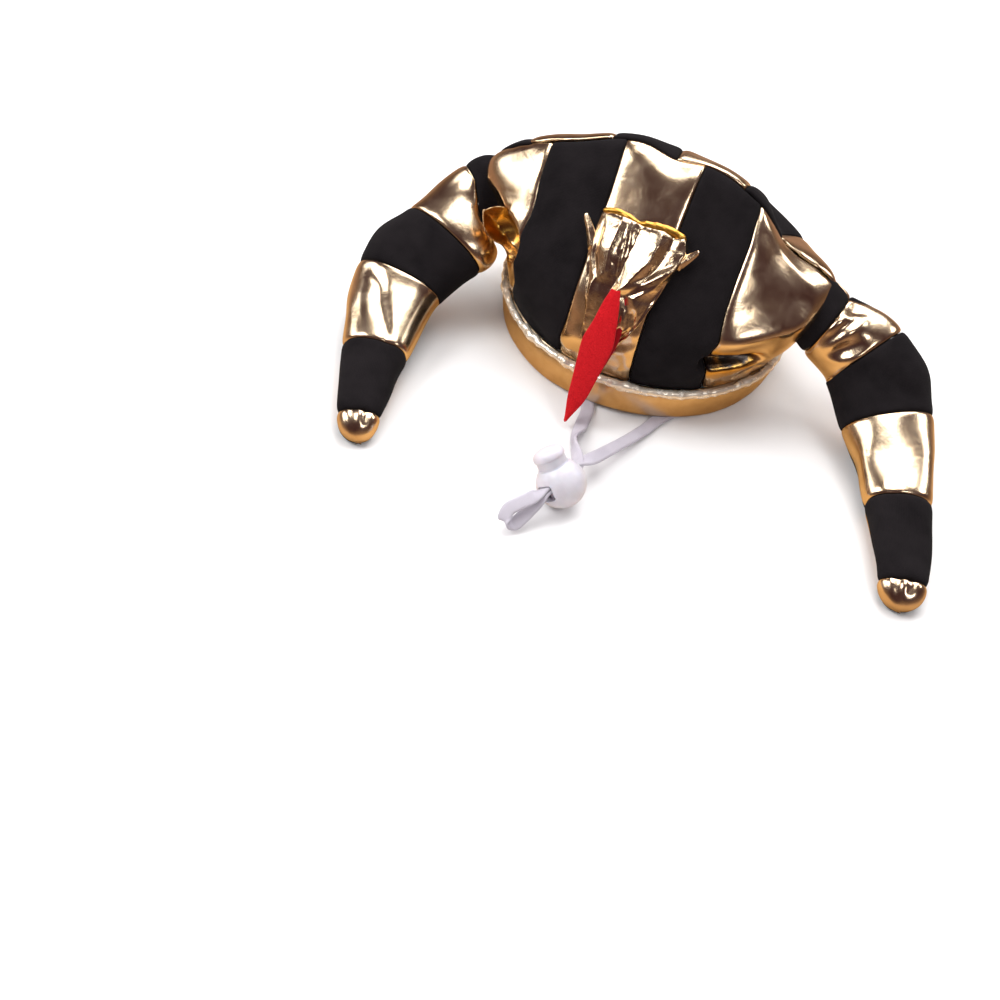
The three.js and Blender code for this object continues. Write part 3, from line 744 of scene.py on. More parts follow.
def new_finish(name, **plain):
    material = bpy.data.materials.new(name)
    material.use_nodes = True
    shader = material.node_tree.nodes["Principled BSDF"]
    for key, value in plain.items():
        shader.inputs[key.replace("_", " ")].default_value = value
    return material, material.node_tree, shader


def object_noise(tree, **sockets):
    """Noise on Object coordinates."""
    where = node(tree, "ShaderNodeTexCoord", (-1100, -150))
    noise = node(tree, "ShaderNodeTexNoise", (-800, -150), sockets)
    join(tree, (where.outputs["Object"], noise.inputs["Vector"]))
    return noise.outputs[0]


def tone_ramp(tree, value, first, second, place, stops=(0.3, 0.7)):
    """One colour up to the first stop of a value, and another from the second."""
    ramp = node(tree, "ShaderNodeValToRGB", place)
    for element, colour, stop in zip(ramp.color_ramp.elements, (first, second), stops):
        element.color = (*colour, 1)
        element.position = stop
    tree.links.new(value, ramp.inputs[0])
    return ramp.outputs[0]


def vary_gloss(tree, shader, value, rough):
    """Roughness that follows a value, from low to high."""
    spread = node(tree, "ShaderNodeMapRange", (-350, -20), {"To Min": rough[0], "To Max": rough[1]})
    join(tree, (value, spread.inputs["Value"]), (spread.outputs[0], shader.inputs["Roughness"]))


def raise_bump(tree, shader, height, strength, distance):
    bump = node(tree, "ShaderNodeBump", (-250, -300), {"Strength": strength, "Distance": distance})
    join(tree, (height, bump.inputs["Height"]), (bump.outputs[0], shader.inputs["Normal"]))


def gold_finish(name, crease_scale, strength, rough, tones, metal=1.0):
    """Foil cloth, with painted shade in the marked folds: amber inter-reflection, then dark shade.
    """
    material, tree, shader = new_finish(
        name, Metallic=metal, Coat_Weight=0.15, Coat_Roughness=0.18)
    where = node(tree, "ShaderNodeTexCoord", (-900, 0))
    crinkle = node(tree, "ShaderNodeGroup", (-650, 0), node_tree=CRINKLE)
    crinkle.inputs["Crease scale"].default_value = crease_scale
    mottle = crinkle.outputs["Mottle"]
    colour = tone_ramp(tree, mottle, *tones, (-350, 250))
    # Painted shade: the marked folds turn amber, then dark
    shade = node(tree, "ShaderNodeAttribute", (-350, 500), attribute_name="painted_fold_shade")
    share = mix_values(tree, "MULTIPLY", shade.outputs["Fac"], 2.0, (-150, 600))
    share.node.use_clamp = True
    deep = tone_ramp(tree, shade.outputs["Fac"], *PAINTED_FOLD_TONES, (-150, 450), PAINTED_FOLD_STOPS)
    paint_shade = node(tree, "ShaderNodeMix", (150, 350), data_type="RGBA")
    join(tree, (where.outputs["Object"], crinkle.inputs["Vector"]), (share, paint_shade.inputs[0]),
         (colour, paint_shade.inputs[6]), (deep, paint_shade.inputs[7]),
         (paint_shade.outputs[2], shader.inputs["Base Color"]))
    vary_gloss(tree, shader, mottle, rough)
    raise_bump(tree, shader, crinkle.outputs["Height"], strength, 0.0006)
    return material


def cloth_finish(name, dark, light, threads, strength, **plain):
    """Knit or woven cloth on the piece's own UV map."""
    material, tree, shader = new_finish(name, **plain)
    where = node(tree, "ShaderNodeTexCoord", (-1100, 100))
    weave = node(tree, "ShaderNodeGroup", (-800, 100), node_tree=WEAVE)
    weave.inputs["Threads"].default_value = threads
    fuzz = object_noise(tree, Scale=130.0, Detail=6.0)
    half = mix_values(tree, "MULTIPLY", weave.outputs["Tone"], 0.35, (-600, 100))
    tone = mix_values(tree, "ADD", half, fuzz, (-450, 100))
    colour = tone_ramp(tree, tone, dark, light, (-300, 250))
    join(tree, (where.outputs["UV"], weave.inputs["Vector"]),
         (colour, shader.inputs["Base Color"]))
    raise_bump(tree, shader, weave.outputs["Height"], strength, 0.0002)
    return material


def felt_finish(name, dark, light):
    material, tree, shader = new_finish(
        name, Roughness=0.95, Sheen_Weight=0.06, Specular_IOR_Level=0.1)
    fibres = object_noise(tree, Scale=1400.0, Detail=5.0, Distortion=2.0)
    colour = tone_ramp(tree, fibres, dark, light, (-350, 200))
    join(tree, (colour, shader.inputs["Base Color"]))
    raise_bump(tree, shader, fibres, 0.5, 0.0004)
    return material


def plastic_finish(name, dark, light):
    material, tree, shader = new_finish(name, Subsurface_Weight=0.15, Subsurface_Scale=0.002)
    flow = object_noise(tree, Scale=260.0, Detail=4.0)
    colour = tone_ramp(tree, flow, dark, light, (-350, 200))
    join(tree, (colour, shader.inputs["Base Color"]))
    vary_gloss(tree, shader, flow, (0.24, 0.42))
    raise_bump(tree, shader, flow, 0.08, 0.0004)
    return material


# Tones of the foil, dark and light, and the painted shade of its folds by how deep they are
CHAMPAGNE = ((0.70, 0.52, 0.33), (0.82, 0.65, 0.45))
# Painted highlight: the bead's foil is drawn paler and, below, less metallic, so that it reads
# white
PALE_PAINTED_HIGHLIGHT = ((0.86, 0.74, 0.58), (0.97, 0.90, 0.79))
# Painted amber inter-reflection and shade, for the foil roll under the hood's top
PAINTED_AMBER = ((0.58, 0.28, 0.04), (0.74, 0.41, 0.08))
# Painted shade of the folds: amber inter-reflection, then dark shade
PAINTED_FOLD_TONES = ((0.66, 0.37, 0.08), (0.05, 0.04, 0.036))
PAINTED_FOLD_STOPS = (0.5, 0.85)
GOLD = gold_finish("gold foil cloth", 150.0, 0.16, (0.15, 0.3), CHAMPAGNE)
GOLD_RIM = gold_finish("gold foil band", 150.0, 0.12, (0.34, 0.46), CHAMPAGNE)
GOLD_BEAD = gold_finish("puckered gold foil with painted highlight", 500.0, 0.25, (0.2, 0.32), PALE_PAINTED_HIGHLIGHT, 0.52)
GOLD_CRUMPLED = gold_finish("crumpled gold foil cloth", 420.0, 0.22, (0.14, 0.28), CHAMPAGNE)
GOLD_PAINTED_AMBER = gold_finish("foil with painted amber inter-reflection", 420.0, 0.3, (0.3, 0.45), PAINTED_AMBER)
BLACK = cloth_finish(
    "black knit cloth", (0.0065, 0.0055, 0.0062), (0.0125, 0.0105, 0.0115), 700.0, 0.35,
    Roughness=1.0, Sheen_Weight=0.02, Sheen_Roughness=0.4, Specular_IOR_Level=0.06)
RED = felt_finish("red felt", (0.42, 0.004, 0.008), (0.62, 0.012, 0.018))
# Painted shade: a darker red for the tongue's under layer
RED_PAINTED_SHADE = felt_finish("red felt with painted shade", (0.22, 0.003, 0.006), (0.34, 0.006, 0.01))
WHITE_BAND = cloth_finish(
    "white elastic band", (0.48, 0.45, 0.52), (0.60, 0.57, 0.64), 1100.0, 0.6, Roughness=0.8)
WHITE_PLASTIC = plastic_finish("white plastic", (0.57, 0.55, 0.61), (0.65, 0.63, 0.69))
FINISH = {"gold": (GOLD, "gold_cloth"), "black": (BLACK, "black_cloth")}


# Crown
def crown_table():
    rows = np.array([(w, f, h, b - f, r) for h, w, f, b, r in CROWN], float)
    places = np.linspace(0, len(rows) - 1, 900)
    line = curve(rows[:, :3], places)
    extra = [np.interp(places, range(len(rows)), rows[:, k]) for k in (3, 4)]
    return {
        "height": line[:, 2], "half": line[:, 0], "front": line[:, 1],
        "back": line[:, 1] + extra[0], "ridge": extra[1],
    }


PROFILE = crown_table()
WIDEST = float(PROFILE["half"].max())
CROWN_INSIDE = Vector(row_frame((0, 0, FOLD_CENTRE)))


def crown_read(height, value):
    return np.interp(height, PROFILE["height"], PROFILE[value])


def crown_push(points):
    """The crown's points moved out and in by its swells, creases and uneven padding."""
    outward = unit(np.stack(
        [points[..., 0], points[..., 1], (points[..., 2] - FOLD_CENTRE) * FOLD_FLATTEN], axis=-1))
    lift = np.zeros(points.shape[:-1])
    for x, y, z, reach, rise in CROWN_SWELLS:
        lift += rise * bump_at(points, (x, y, z), reach)
    for line, half_width, rise in CROWN_CREASES:
        lift += rise * crease(points, line, half_width)
    for line, half_width, edge, rise in CROWN_POCKETS:
        lift += rise * pocket(points, line, half_width, edge)
    for rise, stretch, size, seed in CROWN_RIPPLES:
        lift += rise * ripple(points * stretch, size, seed)
    lift += 0.4 * crumple(points, 6, 8) * bump_at(points, HOOD_SEAT, HOOD_SEAT_REACH)
    lift *= np.clip((points[..., 2] - FOLDS_FROM) / FOLDS_FADE, 0, 1)
    gathers = 0.28 * crumple(points * (1, 1, 0.3), 3.4, 15)
    lift += gathers * groove(points[..., 2] - GATHER_HEIGHT, 1, GATHER_REACH)
    return points + outward * lift[..., None]


def crown_column(x, side):
    """A line up the crown at one x, from the rim or the side seam to the ridge."""
    wide = PROFILE["half"] >= abs(x)
    heights = PROFILE["height"][wide]
    turn = (1 - np.cos(np.linspace(0, math.pi, 240))) / 2
    height = heights[0] + (heights[-1] - heights[0]) * turn
    half = np.maximum(crown_read(height, "half"), abs(x) + 1e-6)
    depth = crown_read(height, "front" if side < 0 else "back")
    round_off = np.maximum(0, 1 - (x / half) ** 2) ** (crown_read(height, "ridge") / 2)
    line = np.stack([np.full_like(height, x), side * depth * round_off, height], axis=1)
    run = running(np.linalg.norm(np.diff(line, axis=0), axis=1))
    even = np.linspace(0, run[-1], CROWN_ROWS + 1)
    return np.stack([np.interp(even, run, line[:, k]) for k in range(3)], axis=1)


def crown_stops():
    """The x of every column: even round the crown, with one on each seam."""
    seams = sorted(FRONT_SEAMS + BACK_SEAMS)
    turn = np.linspace(-math.pi / 2, math.pi / 2, CROWN_TURN + 1)
    even = WIDEST * 0.9995 * np.sin(turn)
    clear = [x for x in even if min(abs(x - seam) for seam in seams) > 0.45]
    return np.array(sorted(clear + seams))


def add_crown():
    stops = crown_stops()
    below_ridge = (1 - np.linspace(0, 1, CROWN_ROWS + 1)[:, None]) * PANEL_LENGTH
    for face, side, seams, colours in (
        ("front", -1, FRONT_SEAMS, FRONT_COLOURS),
        ("back", 1, BACK_SEAMS, BACK_COLOURS),
    ):
        plain = np.stack([crown_column(x, side) for x in stops], axis=1)
        outward = unit(plain - np.array([0, 0, FOLD_CENTRE]))
        points = crown_push(plain)
        from_seam = np.min([np.abs(stops - seam) for seam in seams], axis=0)[None, :]
        sunk = np.maximum(groove(from_seam, *SEAM_GROOVE), groove(below_ridge, *RIDGE_GROOVE))
        points = points - outward * sunk[..., None]
        ends = [0] + [int(np.argmin(np.abs(stops - s))) for s in seams] + [len(stops) - 1]
        for i, colour in enumerate(colours):
            span = slice(ends[i], ends[i + 1] + 1)
            edges = (False, True, i > 0, i < len(colours) - 1)
            block = hemmed(points[:, span], outward[:, span], edges)
            mesh = patch(row_frame(block), closed=True)
            face_away(mesh, CROWN_INSIDE)
            material, slot = FINISH[colour]
            name = f"crown_{face}_{i + 1}_{colour}"
            piece = add_piece(f"{name}_cloth", mesh, material, [name])
            # Painted shade in the crown's folds and recesses
            paint_fold_shade(piece)
            thicken(piece, CROWN_WALL)


def crown_front(x, height, lift):
    """Points on the crown's front at x and height, stood off by lift."""
    x, height = np.broadcast_arrays(np.asarray(x, float), np.asarray(height, float))
    half = crown_read(height, "half")
    share = np.clip(x / half, -0.99, 0.99)
    depth = crown_read(height, "front") * (1 - share**2) ** (crown_read(height, "ridge") / 2)
    points = crown_push(np.stack([x, -depth, height], axis=-1))
    outward = unit(points - np.array([0, 0, FOLD_CENTRE - 8]))
    return points + outward * np.asarray(lift)[..., None]


# Lappets
def lappet_rings(side):
    """Rings of points along a lappet, (rows, columns, xyz), and the row of each seam."""
    rows = np.array(LAPPETS[side], float)
    out = OUTWARD[side]
    route = np.stack([out * rows[:, 0], -rows[:, 1], rows[:, 2]], axis=1)
    places, seams = [], [0]
    for i, count in enumerate(LAPPET_ROWS):
        places += [i + k / count for k in range(count)]
        seams.append(len(places))
    places = np.array(places + [len(rows) - 1])
    centre = curve(route, places)
    along = unit(np.gradient(centre, axis=0))
    lean = np.radians(np.interp(places, range(len(rows)), rows[:, 5]))
    face = np.stack([np.zeros_like(lean), -np.cos(lean), np.sin(lean)], axis=1)
    face = unit(face - along * np.sum(face * along, axis=1, keepdims=True))
    across = np.cross(face, along) * out
    last = len(rows) - 2
    width = np.interp(places, range(len(rows)), rows[:, 3])
    thick = np.interp(places, range(len(rows)), rows[:, 4])
    tip = places > last
    bow = np.sqrt(np.maximum(0, 1 - (places[tip] - last) ** 2))
    width[tip] = rows[-1, 3] + (rows[last, 3] - rows[-1, 3]) * bow
    thick[tip] = rows[-1, 4] + (rows[last, 4] - rows[-1, 4]) * bow
    width, thick = width * LAPPET_SLIM, thick * LAPPET_SLIM
    start, end = LAPPET_WRAP[0], math.pi + LAPPET_WRAP[1]
    turn = np.concatenate([np.linspace(start, end, LAPPET_HALF + 1),
                           np.linspace(end, start + 2 * math.pi, LAPPET_HALF + 1)[1:]])
    swell = np.sign(np.sin(turn)) * np.abs(np.sin(turn)) ** LAPPET_FULLNESS
    rings = (
        centre[:, None]
        + across[:, None] * (width / 2)[:, None, None] * np.cos(turn)[None, :, None]
        + face[:, None] * (thick / 2)[:, None, None] * swell[None, :, None]
    )
    near_root = groove(np.arange(len(places)) - seams[1], 1, SKEW_ROWS)
    inner = np.clip(-np.cos(turn + 0.6), 0, 1)
    rings += along[:, None] * (ROOT_SKEW[side] * near_root[:, None] * inner[None, :])[..., None]
    rings[..., 2] = np.maximum(rings[..., 2], LAPPET_CLEAR[0])
    return rings, seams


def puff(points, name, pins):
    """Fill a closed sleeve of cloth: pressure from inside, with spare cloth between pinned rows."""
    home = row_frame(points)
    mesh = patch(home, closed=True)
    bmesh.ops.recalc_face_normals(mesh, faces=mesh.faces)
    sleeve = mesh_object(name, mesh)
    start = np.zeros(len(sleeve.data.vertices) * 3)
    sleeve.data.vertices.foreach_get("co", start)
    start = start.reshape(-1, 3)
    nearest = np.array([int(np.argmin(np.sum((start - spot) ** 2, axis=1)))
                        for spot in home.reshape(-1, 3)])
    grid = nearest.reshape(points.shape[:2])
    weights = np.full(len(start), CLOTH_HOLD)
    for row, weight in pins.items():
        weights[grid[row]] = np.maximum(weights[grid[row]], weight)
    weights[start[:, 2] < FLOOR_TOUCH] = FLOOR_HOLD
    hold = sleeve.vertex_groups.new(name="hold")
    for index, weight in enumerate(weights):
        hold.add([index], float(weight), "REPLACE")
    cloth = sleeve.modifiers.new("fill", "CLOTH")
    for key, value in FILLING.items():
        setattr(cloth.settings, key, value)
    cloth.settings.effector_weights.gravity = 0
    scene = bpy.context.scene
    for number in range(1, PUFF_FRAMES + 1):
        scene.frame_set(number)
    settled = sleeve.evaluated_get(bpy.context.evaluated_depsgraph_get())
    end = np.zeros(len(start) * 3)
    settled.data.vertices.foreach_get("co", end)
    bpy.data.objects.remove(sleeve)
    scene.frame_set(1)
    moved = end.reshape(-1, 3) - start
    far = np.linalg.norm(moved, axis=1, keepdims=True)
    moved *= np.minimum(1, PUFF_CAP * MM / np.maximum(far, 1e-9))
    moved = moved[grid]
    for _ in range(PUFF_EASE):
        around = (np.roll(moved[:, :-1], 1, axis=1) + np.roll(moved[:, :-1], -1, axis=1)) / 2
        moved = 0.5 * moved + 0.5 * np.concatenate([around, around[:, :1]], axis=1)
        moved[1:-1] = 0.5 * moved[1:-1] + 0.25 * (moved[:-2] + moved[2:])
    return points + moved / MM


def add_lappet(side):
    rings, seams = lappet_rings(side)
    rows, columns = rings.shape[:2]
    pins = dict.fromkeys(seams[1:-1], SEAM_HOLD)
    pins.update(dict.fromkeys(range(ROOT_ROWS), ROOT_HOLD))
    rings = puff(rings, f"{side}_sleeve", pins)
    outward = unit(rings - rings.mean(axis=1, keepdims=True))
    lift = np.zeros((rows, columns))
    for row in seams[1:-1]:
        lift -= groove(np.arange(rows)[:, None] - row, *STRIPE_GROOVE)
    for col in (0, LAPPET_HALF, columns - 1):
        lift -= groove(np.arange(columns)[None, :] - col, *EDGE_GROOVE)
    for x, y, z, reach, rise in LAPPET_SWELLS[side]:
        lift += rise * bump_at(rings, (x, y, z), reach)
    for line, half_width, rise in LAPPET_CREASES[side]:
        lift += rise * pleat(rings, line, half_width)
    rings = rings + outward * lift[..., None]
    rings[..., 2] = np.maximum(rings[..., 2], LAPPET_CLEAR[1])
    for face, first, colours in (
        ("front", 0, FRONT_STRIPES),
        ("back", LAPPET_HALF, BACK_STRIPES),
    ):
        for i, colour in enumerate(colours):
            span = slice(seams[i], seams[i + 1] + 1)
            turn = slice(first, first + LAPPET_HALF + 1)
            tip = i == len(colours) - 1
            edges = (i > 0, not tip, True, True)
            block = hemmed(rings[span, turn], outward[span, turn], edges)
            centre = Vector(row_frame(rings[span].reshape(-1, 3).mean(0)))
            mesh = patch(row_frame(block), closed=tip)
            face_away(mesh, centre)
            material, slot = FINISH[colour]
            name = f"{side}_lappet_{face}_{i + 1}_{colour}"
            piece = add_piece(f"{name}_cloth", mesh, material, [name])
            thicken(piece, LAPPET_WALL)


# Funnel of cloth at the left lappet's root
def add_funnel():
    lip = np.array(FUNNEL_LIP + FUNNEL_LIP[:1], float)
    places = np.linspace(0, len(FUNNEL_LIP), FUNNEL_TURN + 1)
    around = curve(np.pad(lip, ((0, 0), (0, 1))), places)[:, :2]
    around[-1] = around[0]
    steps = np.array(FUNNEL_RINGS)
    inner = np.clip(steps, 0, 1)
    narrow = np.where(steps < 0, 1 + 0.6 * np.abs(steps), (1 - inner) ** 0.75)
    deep = np.where(steps < 0, 14 * steps, -FUNNEL_DEPTH * np.sin(inner * math.pi / 2))
    middle, out = np.array(FUNNEL), np.array(FUNNEL_OUT)
    spread = (around[None] * narrow[:, None, None]) @ np.array([FUNNEL_RIGHT, FUNNEL_UP])
    points = middle + spread + deep[:, None, None] * out
    points += 0.35 * ripple(points, 7, 51)[..., None] * out
    points[:, -1] = points[:, 0]
    mesh = patch(row_frame(points), closed=True)
    bottom = Vector(row_frame(points[-1].mean(0)))
    hole = [edge for edge in mesh.edges
            if edge.is_boundary and (edge.verts[0].co - bottom).length < 2 * MM]
    bmesh.ops.holes_fill(mesh, edges=hole, sides=0)
    face_away(mesh, Vector(row_frame(middle - 30 * out)))
    piece = add_piece("left_funnel_cloth", mesh, GOLD)
    # Painted amber shade and inter-reflection inside the funnel
    paint_fold_shade(piece)
    thicken(piece, FOIL_WALL)


# Rim band
def rim_oval(turn, out, height):
    """Points round the rim, moved out from it, at a height."""
    x = (RIM_HALF_WIDTH + out) * np.cos(turn)
    y = (RIM_HALF_DEPTH + out) * np.sin(turn)
    return np.stack([x, y, height + 0 * turn], axis=1)


def rim_turn():
    """Angles round the rim, and the way out at each."""
    turn = np.linspace(0, 2 * math.pi, RIM_STEPS + 1)
    turn[-1] = 0
    return turn, np.stack([np.cos(turn), np.sin(turn), np.zeros_like(turn)], axis=1)


def add_ring(name, rings, material, nodes):
    """A closed band from rings of points, one for each step of its section."""
    rings = np.stack(rings, axis=0)
    rings[:, -1] = rings[:, 0]
    mesh = patch(row_frame(rings), closed=True)
    bmesh.ops.recalc_face_normals(mesh, faces=mesh.faces)
    make_round(add_piece(name, mesh, material, nodes))


def add_rim():
    turn, flat = rim_turn()
    x0, half, rise, power = RIM_ARCH
    off = np.clip((RIM_HALF_WIDTH * np.cos(turn) - x0) / half, -1, 1)
    arch = np.where(np.sin(turn) < 0, rise * np.abs(np.cos(off * math.pi / 2)) ** power, 0)
    right, left = (np.clip(way * np.cos(turn), 0, 1) ** 1.5 for way in (1, -1))
    sides = (RIM_DRAW_IN[0] * right + RIM_DRAW_IN[1] * left) * (np.sin(turn) < 0.2)
    rings = []
    for out, up in RIM_SECTION + RIM_SECTION[:1]:
        base = rim_oval(turn, out, arch * (1 - max(up, 0)) + up if up < 1 else up)
        base -= flat * (sides * max(0, 1 - max(up, 0) / DRAW_IN_HEIGHT))[:, None]
        slack = 0.14 * ripple(base, 18, 7)
        slack += 0.7 * crumple(base, 5, 13) * bump_at(base, RIM_CRUMPLE, RIM_CRUMPLE_REACH)
        if 0 < up < 12:
            base += flat * slack[:, None]
        base[:, 2] = np.maximum(base[:, 2], 0.0)
        rings.append(base)
    add_ring("rim_band_cloth", rings, GOLD_RIM, ["rim_band"])


def add_bead():
    """The gathered seam along the top of the rim."""
    turn, flat = rim_turn()
    thick = BEAD_RADIUS * (1 + 0.14 * ripple(flat * RIM_HALF_WIDTH, 13, 41))
    rise = 0.35 * ripple(flat * RIM_HALF_WIDTH, 17, 43)
    rings = []
    for angle in np.linspace(0, 2 * math.pi, BEAD_TURN + 1):
        out, up = math.cos(angle), math.sin(angle)
        base = rim_oval(turn, BEAD_OUT, BEAD_HEIGHT + rise)
        near = base + flat * out + np.array([0, 0, up])
        size = thick * (1 + (0.07 * crumple(near, 1.6, 11) + 0.17 * crumple(near, 3.6, 12)))
        base += flat * (size * out)[:, None]
        base[:, 2] += size * up * 1.05
        rings.append(base)
    # The bead's paler, less metallic foil is a painted highlight
    add_ring("rim_bead_cloth", rings, GOLD_BEAD, [])


# Cobra hood
def hood_shape():
    rows = np.linspace(HOOD[0][0], HOOD[-1][0], HOOD_ROWS + 1)[:, None]
    share = np.linspace(0, 1, HOOD_COLUMNS + 1)[None, :]
    left, right, lift = (column(HOOD, rows, k) for k in (1, 2, 3))
    x = left + (right - left) * share
    height = rows + 0 * x
    flat = np.stack([x, np.zeros_like(x), height], axis=-1)
    folds = np.zeros_like(x)
    for i, tall in enumerate(rows[:, 0]):
        turns = [float(column(HOOD_PLEATS, tall, k)) for k in range(2, 9)]
        folds[i] = column(HOOD_PLEATS, tall, 1) * np.interp(x[i], turns, HOOD_TURNS)
    for line, half_width, rise in HOOD_FOLDS:
        folds += rise * pleat(flat, [(a, 0, b) for a, b in line], half_width)
    dome = np.sin(math.pi * np.clip(share, 0.001, 0.999)) ** 0.5
    crinkle = 0.12 * crumple(flat, 6.5, 21) + 0.02 * crumple(flat, 2.2, 23)
    stitch_x, level, slant, half_width, lowest = STITCHES
    stitched = np.abs(x - stitch_x - slant * (height - level)) < half_width
    crinkle += 0.08 * crumple(flat, 1.6, 27) * stitched * (height > lowest)
    stand = HOOD_EDGE + (lift - HOOD_EDGE) * dome + folds + crinkle
    return x, height, np.maximum(stand, HOOD_LEAST)


def add_hood():
    x, height, stand = hood_shape()
    block = crown_front(x, height, stand)
    mesh = patch(row_frame(block))
    face_away(mesh, CROWN_INSIDE)
    piece = add_piece("cobra_hood_cloth", mesh, GOLD_CRUMPLED, ["cobra_hood"])
    thicken(piece, FOIL_WALL)


def add_hood_ears():
    for number, (line, width) in enumerate(HOOD_EARS):
        places = np.linspace(0, len(line) - 1, 17)
        route = curve([(a, 0, b) for a, b in line], places)
        along = unit(np.gradient(route, axis=0))
        across = np.stack([along[:, 2], 0 * along[:, 0], -along[:, 0]], axis=1)
        size = EAR_TIP + width * (1 - places / (len(line) - 1)) ** 0.8
        share = np.linspace(-1, 1, 9)[None, :]
        flat = route[:, None] + across[:, None] * (size[:, None] * share)[..., None] / 2
        stand = EAR_LIFT - EAR_BEND * np.abs(share) * size[:, None] + 0 * flat[..., 0]
        mesh = patch(row_frame(crown_front(flat[..., 0], flat[..., 2], stand)))
        face_away(mesh, CROWN_INSIDE)
        ear = add_piece(f"cobra_ear_{number + 1}_cloth", mesh, GOLD_CRUMPLED)
        thicken(ear, FOIL_WALL)


def add_hood_roll():
    places = np.linspace(0, len(HOOD_ROLL) - 1, ROLL_STEPS + 1)
    route = curve([(a, 0, b) for a, b in HOOD_ROLL], places)
    middle = crown_front(route[:, 0], route[:, 2], np.full(ROLL_STEPS + 1, ROLL_LIFT))
    along = unit(np.gradient(middle, axis=0))
    out = unit(middle - np.array([0, 0, 20]))
    side = np.cross(along, out)
    size = ROLL_RADIUS * np.sqrt(np.clip(1 - (2 * places / places[-1] - 1) ** 12, 0.03, 1))
    nip_x, reach, share = ROLL_NIP
    size *= 1 - groove(route[:, 0] - nip_x, share, reach)
    size *= 1 + 0.14 * crumple(middle, 4, 29)
    turn = np.linspace(0, 2 * math.pi, ROLL_TURN + 1)[None, :, None]
    round_it = out[:, None] * np.sin(turn) + side[:, None] * np.cos(turn)
    mesh = patch(row_frame(middle[:, None] + size[:, None, None] * round_it), closed=True)
    close_ends(mesh)
    # The roll is painted amber, standing in for the foil's inter-reflection and shade under the
    # hood's edge
    make_round(add_piece("cobra_roll_cloth", mesh, GOLD_PAINTED_AMBER))


# Tongue
def tongue_points(slide, wide, back, length):
    """A layer of the tongue, slid to the right at its top, widened, set back and shortened."""
    rows = np.array(TONGUE, float)
    places = np.linspace(0, (len(rows) - 1) * length, TONGUE_STEPS + 1)
    run = np.linspace(0, 1, TONGUE_STEPS + 1)
    route = curve(np.stack([rows[:, 0], -rows[:, 1], rows[:, 2]], axis=1), places)
    width = np.interp(places, range(len(rows)), rows[:, 3]) * wide
    if length < 1:
        width *= np.minimum(1, (1 - run) * 4 + 0.1)
    width = np.convolve(np.pad(width, 3, mode="edge"), np.ones(7) / 7, mode="valid")
    share = np.linspace(-1, 1, TONGUE_COLUMNS + 1)[None, :]
    points = route[:, None] + np.zeros((TONGUE_STEPS + 1, TONGUE_COLUMNS + 1, 3))
    points[..., 0] += slide * (1 - run[:, None]) + width[:, None] / 2 * share
    points[..., 1] += 0.5 * share**2 + back + 0.3 * ripple(points, 17, 31)
    return points


def add_tongue():
    for name, material, slide, wide, back, length, nodes in (
        ("tongue_felt", RED, 0, 1.0, -0.8, 1.0, ["tongue"]),
        # The under layer's darker red is painted shade
        ("tongue_under_felt", RED_PAINTED_SHADE, 4.2, 0.8, 1.6, 0.86, []),
    ):
        block = tongue_points(slide, wide, back, length)
        mesh = patch(row_frame(block))
        face_away(mesh, CROWN_INSIDE)
        layer = add_piece(name, mesh, material, nodes)
        thicken(layer, FELT_WALL)


# Chin elastic
def elastic_line():
    """The middle of the band, the way across its flat, and the way it faces."""
    rows = np.array([row[:3] for row in ELASTIC], float)
    places = np.linspace(0, len(rows) - 1, ELASTIC_STEPS + 1)
    line = curve(rows * (1, -1, 1), places)
    ways = np.array([row[3] for row in ELASTIC], float)
    across = np.stack([np.interp(places, range(len(rows)), way) for way in ways.T], axis=1)
    along = unit(np.gradient(line, axis=0))
    across = unit(across - along * np.sum(across * along, axis=1, keepdims=True))
    return line, across, np.cross(along, across)


def add_elastic():
    line, across, face = elastic_line()
    section = np.array(ELASTIC_SECTION + ELASTIC_SECTION[:1])
    section = section * (ELASTIC_WIDTH, ELASTIC_THICK) / 2
    rings = np.stack([line + across * a + face * b for a, b in section], axis=1)
    mesh = patch(row_frame(rings), closed=True)
    close_ends(mesh)
    band = add_piece("chin_elastic_band", mesh, WHITE_BAND, ["chin_elastic"])
    path = row_frame(line)
    length = float(np.linalg.norm(np.diff(path, axis=0), axis=1).sum())
    return band, path, length


# Cord lock
def lock_place():
    """From the lock's own millimetres, pressed along Z, to its place in the row frame."""
    press = (PRESS_AXIS - CORD_AXIS * PRESS_AXIS.dot(CORD_AXIS)).normalized()
    side = press.cross(CORD_AXIS)
    turn = Matrix((CORD_AXIS, side, press)).transposed().to_4x4()
    x, forward, height = LOCK_CENTRE
    middle = Vector(row_frame((x, -forward, height)))
    return Matrix.Translation(middle) @ turn @ Matrix.Scale(MM, 4)


def turned(profile):
    """A solid of revolution about Z from a profile of radius and rise."""
    mesh = bmesh.new()
    verts = [mesh.verts.new((radius, 0, rise)) for radius, rise in profile]
    edges = [mesh.edges.new(pair) for pair in zip(verts, verts[1:])]
    bmesh.ops.spin(mesh, geom=verts + edges, cent=(0, 0, 0), axis=(0, 0, 1), angle=2 * math.pi,
                   steps=LOCK_TURN, use_merge=True)
    bmesh.ops.remove_doubles(mesh, verts=mesh.verts, dist=1e-4)
    bmesh.ops.recalc_face_normals(mesh, faces=mesh.faces)
    return mesh


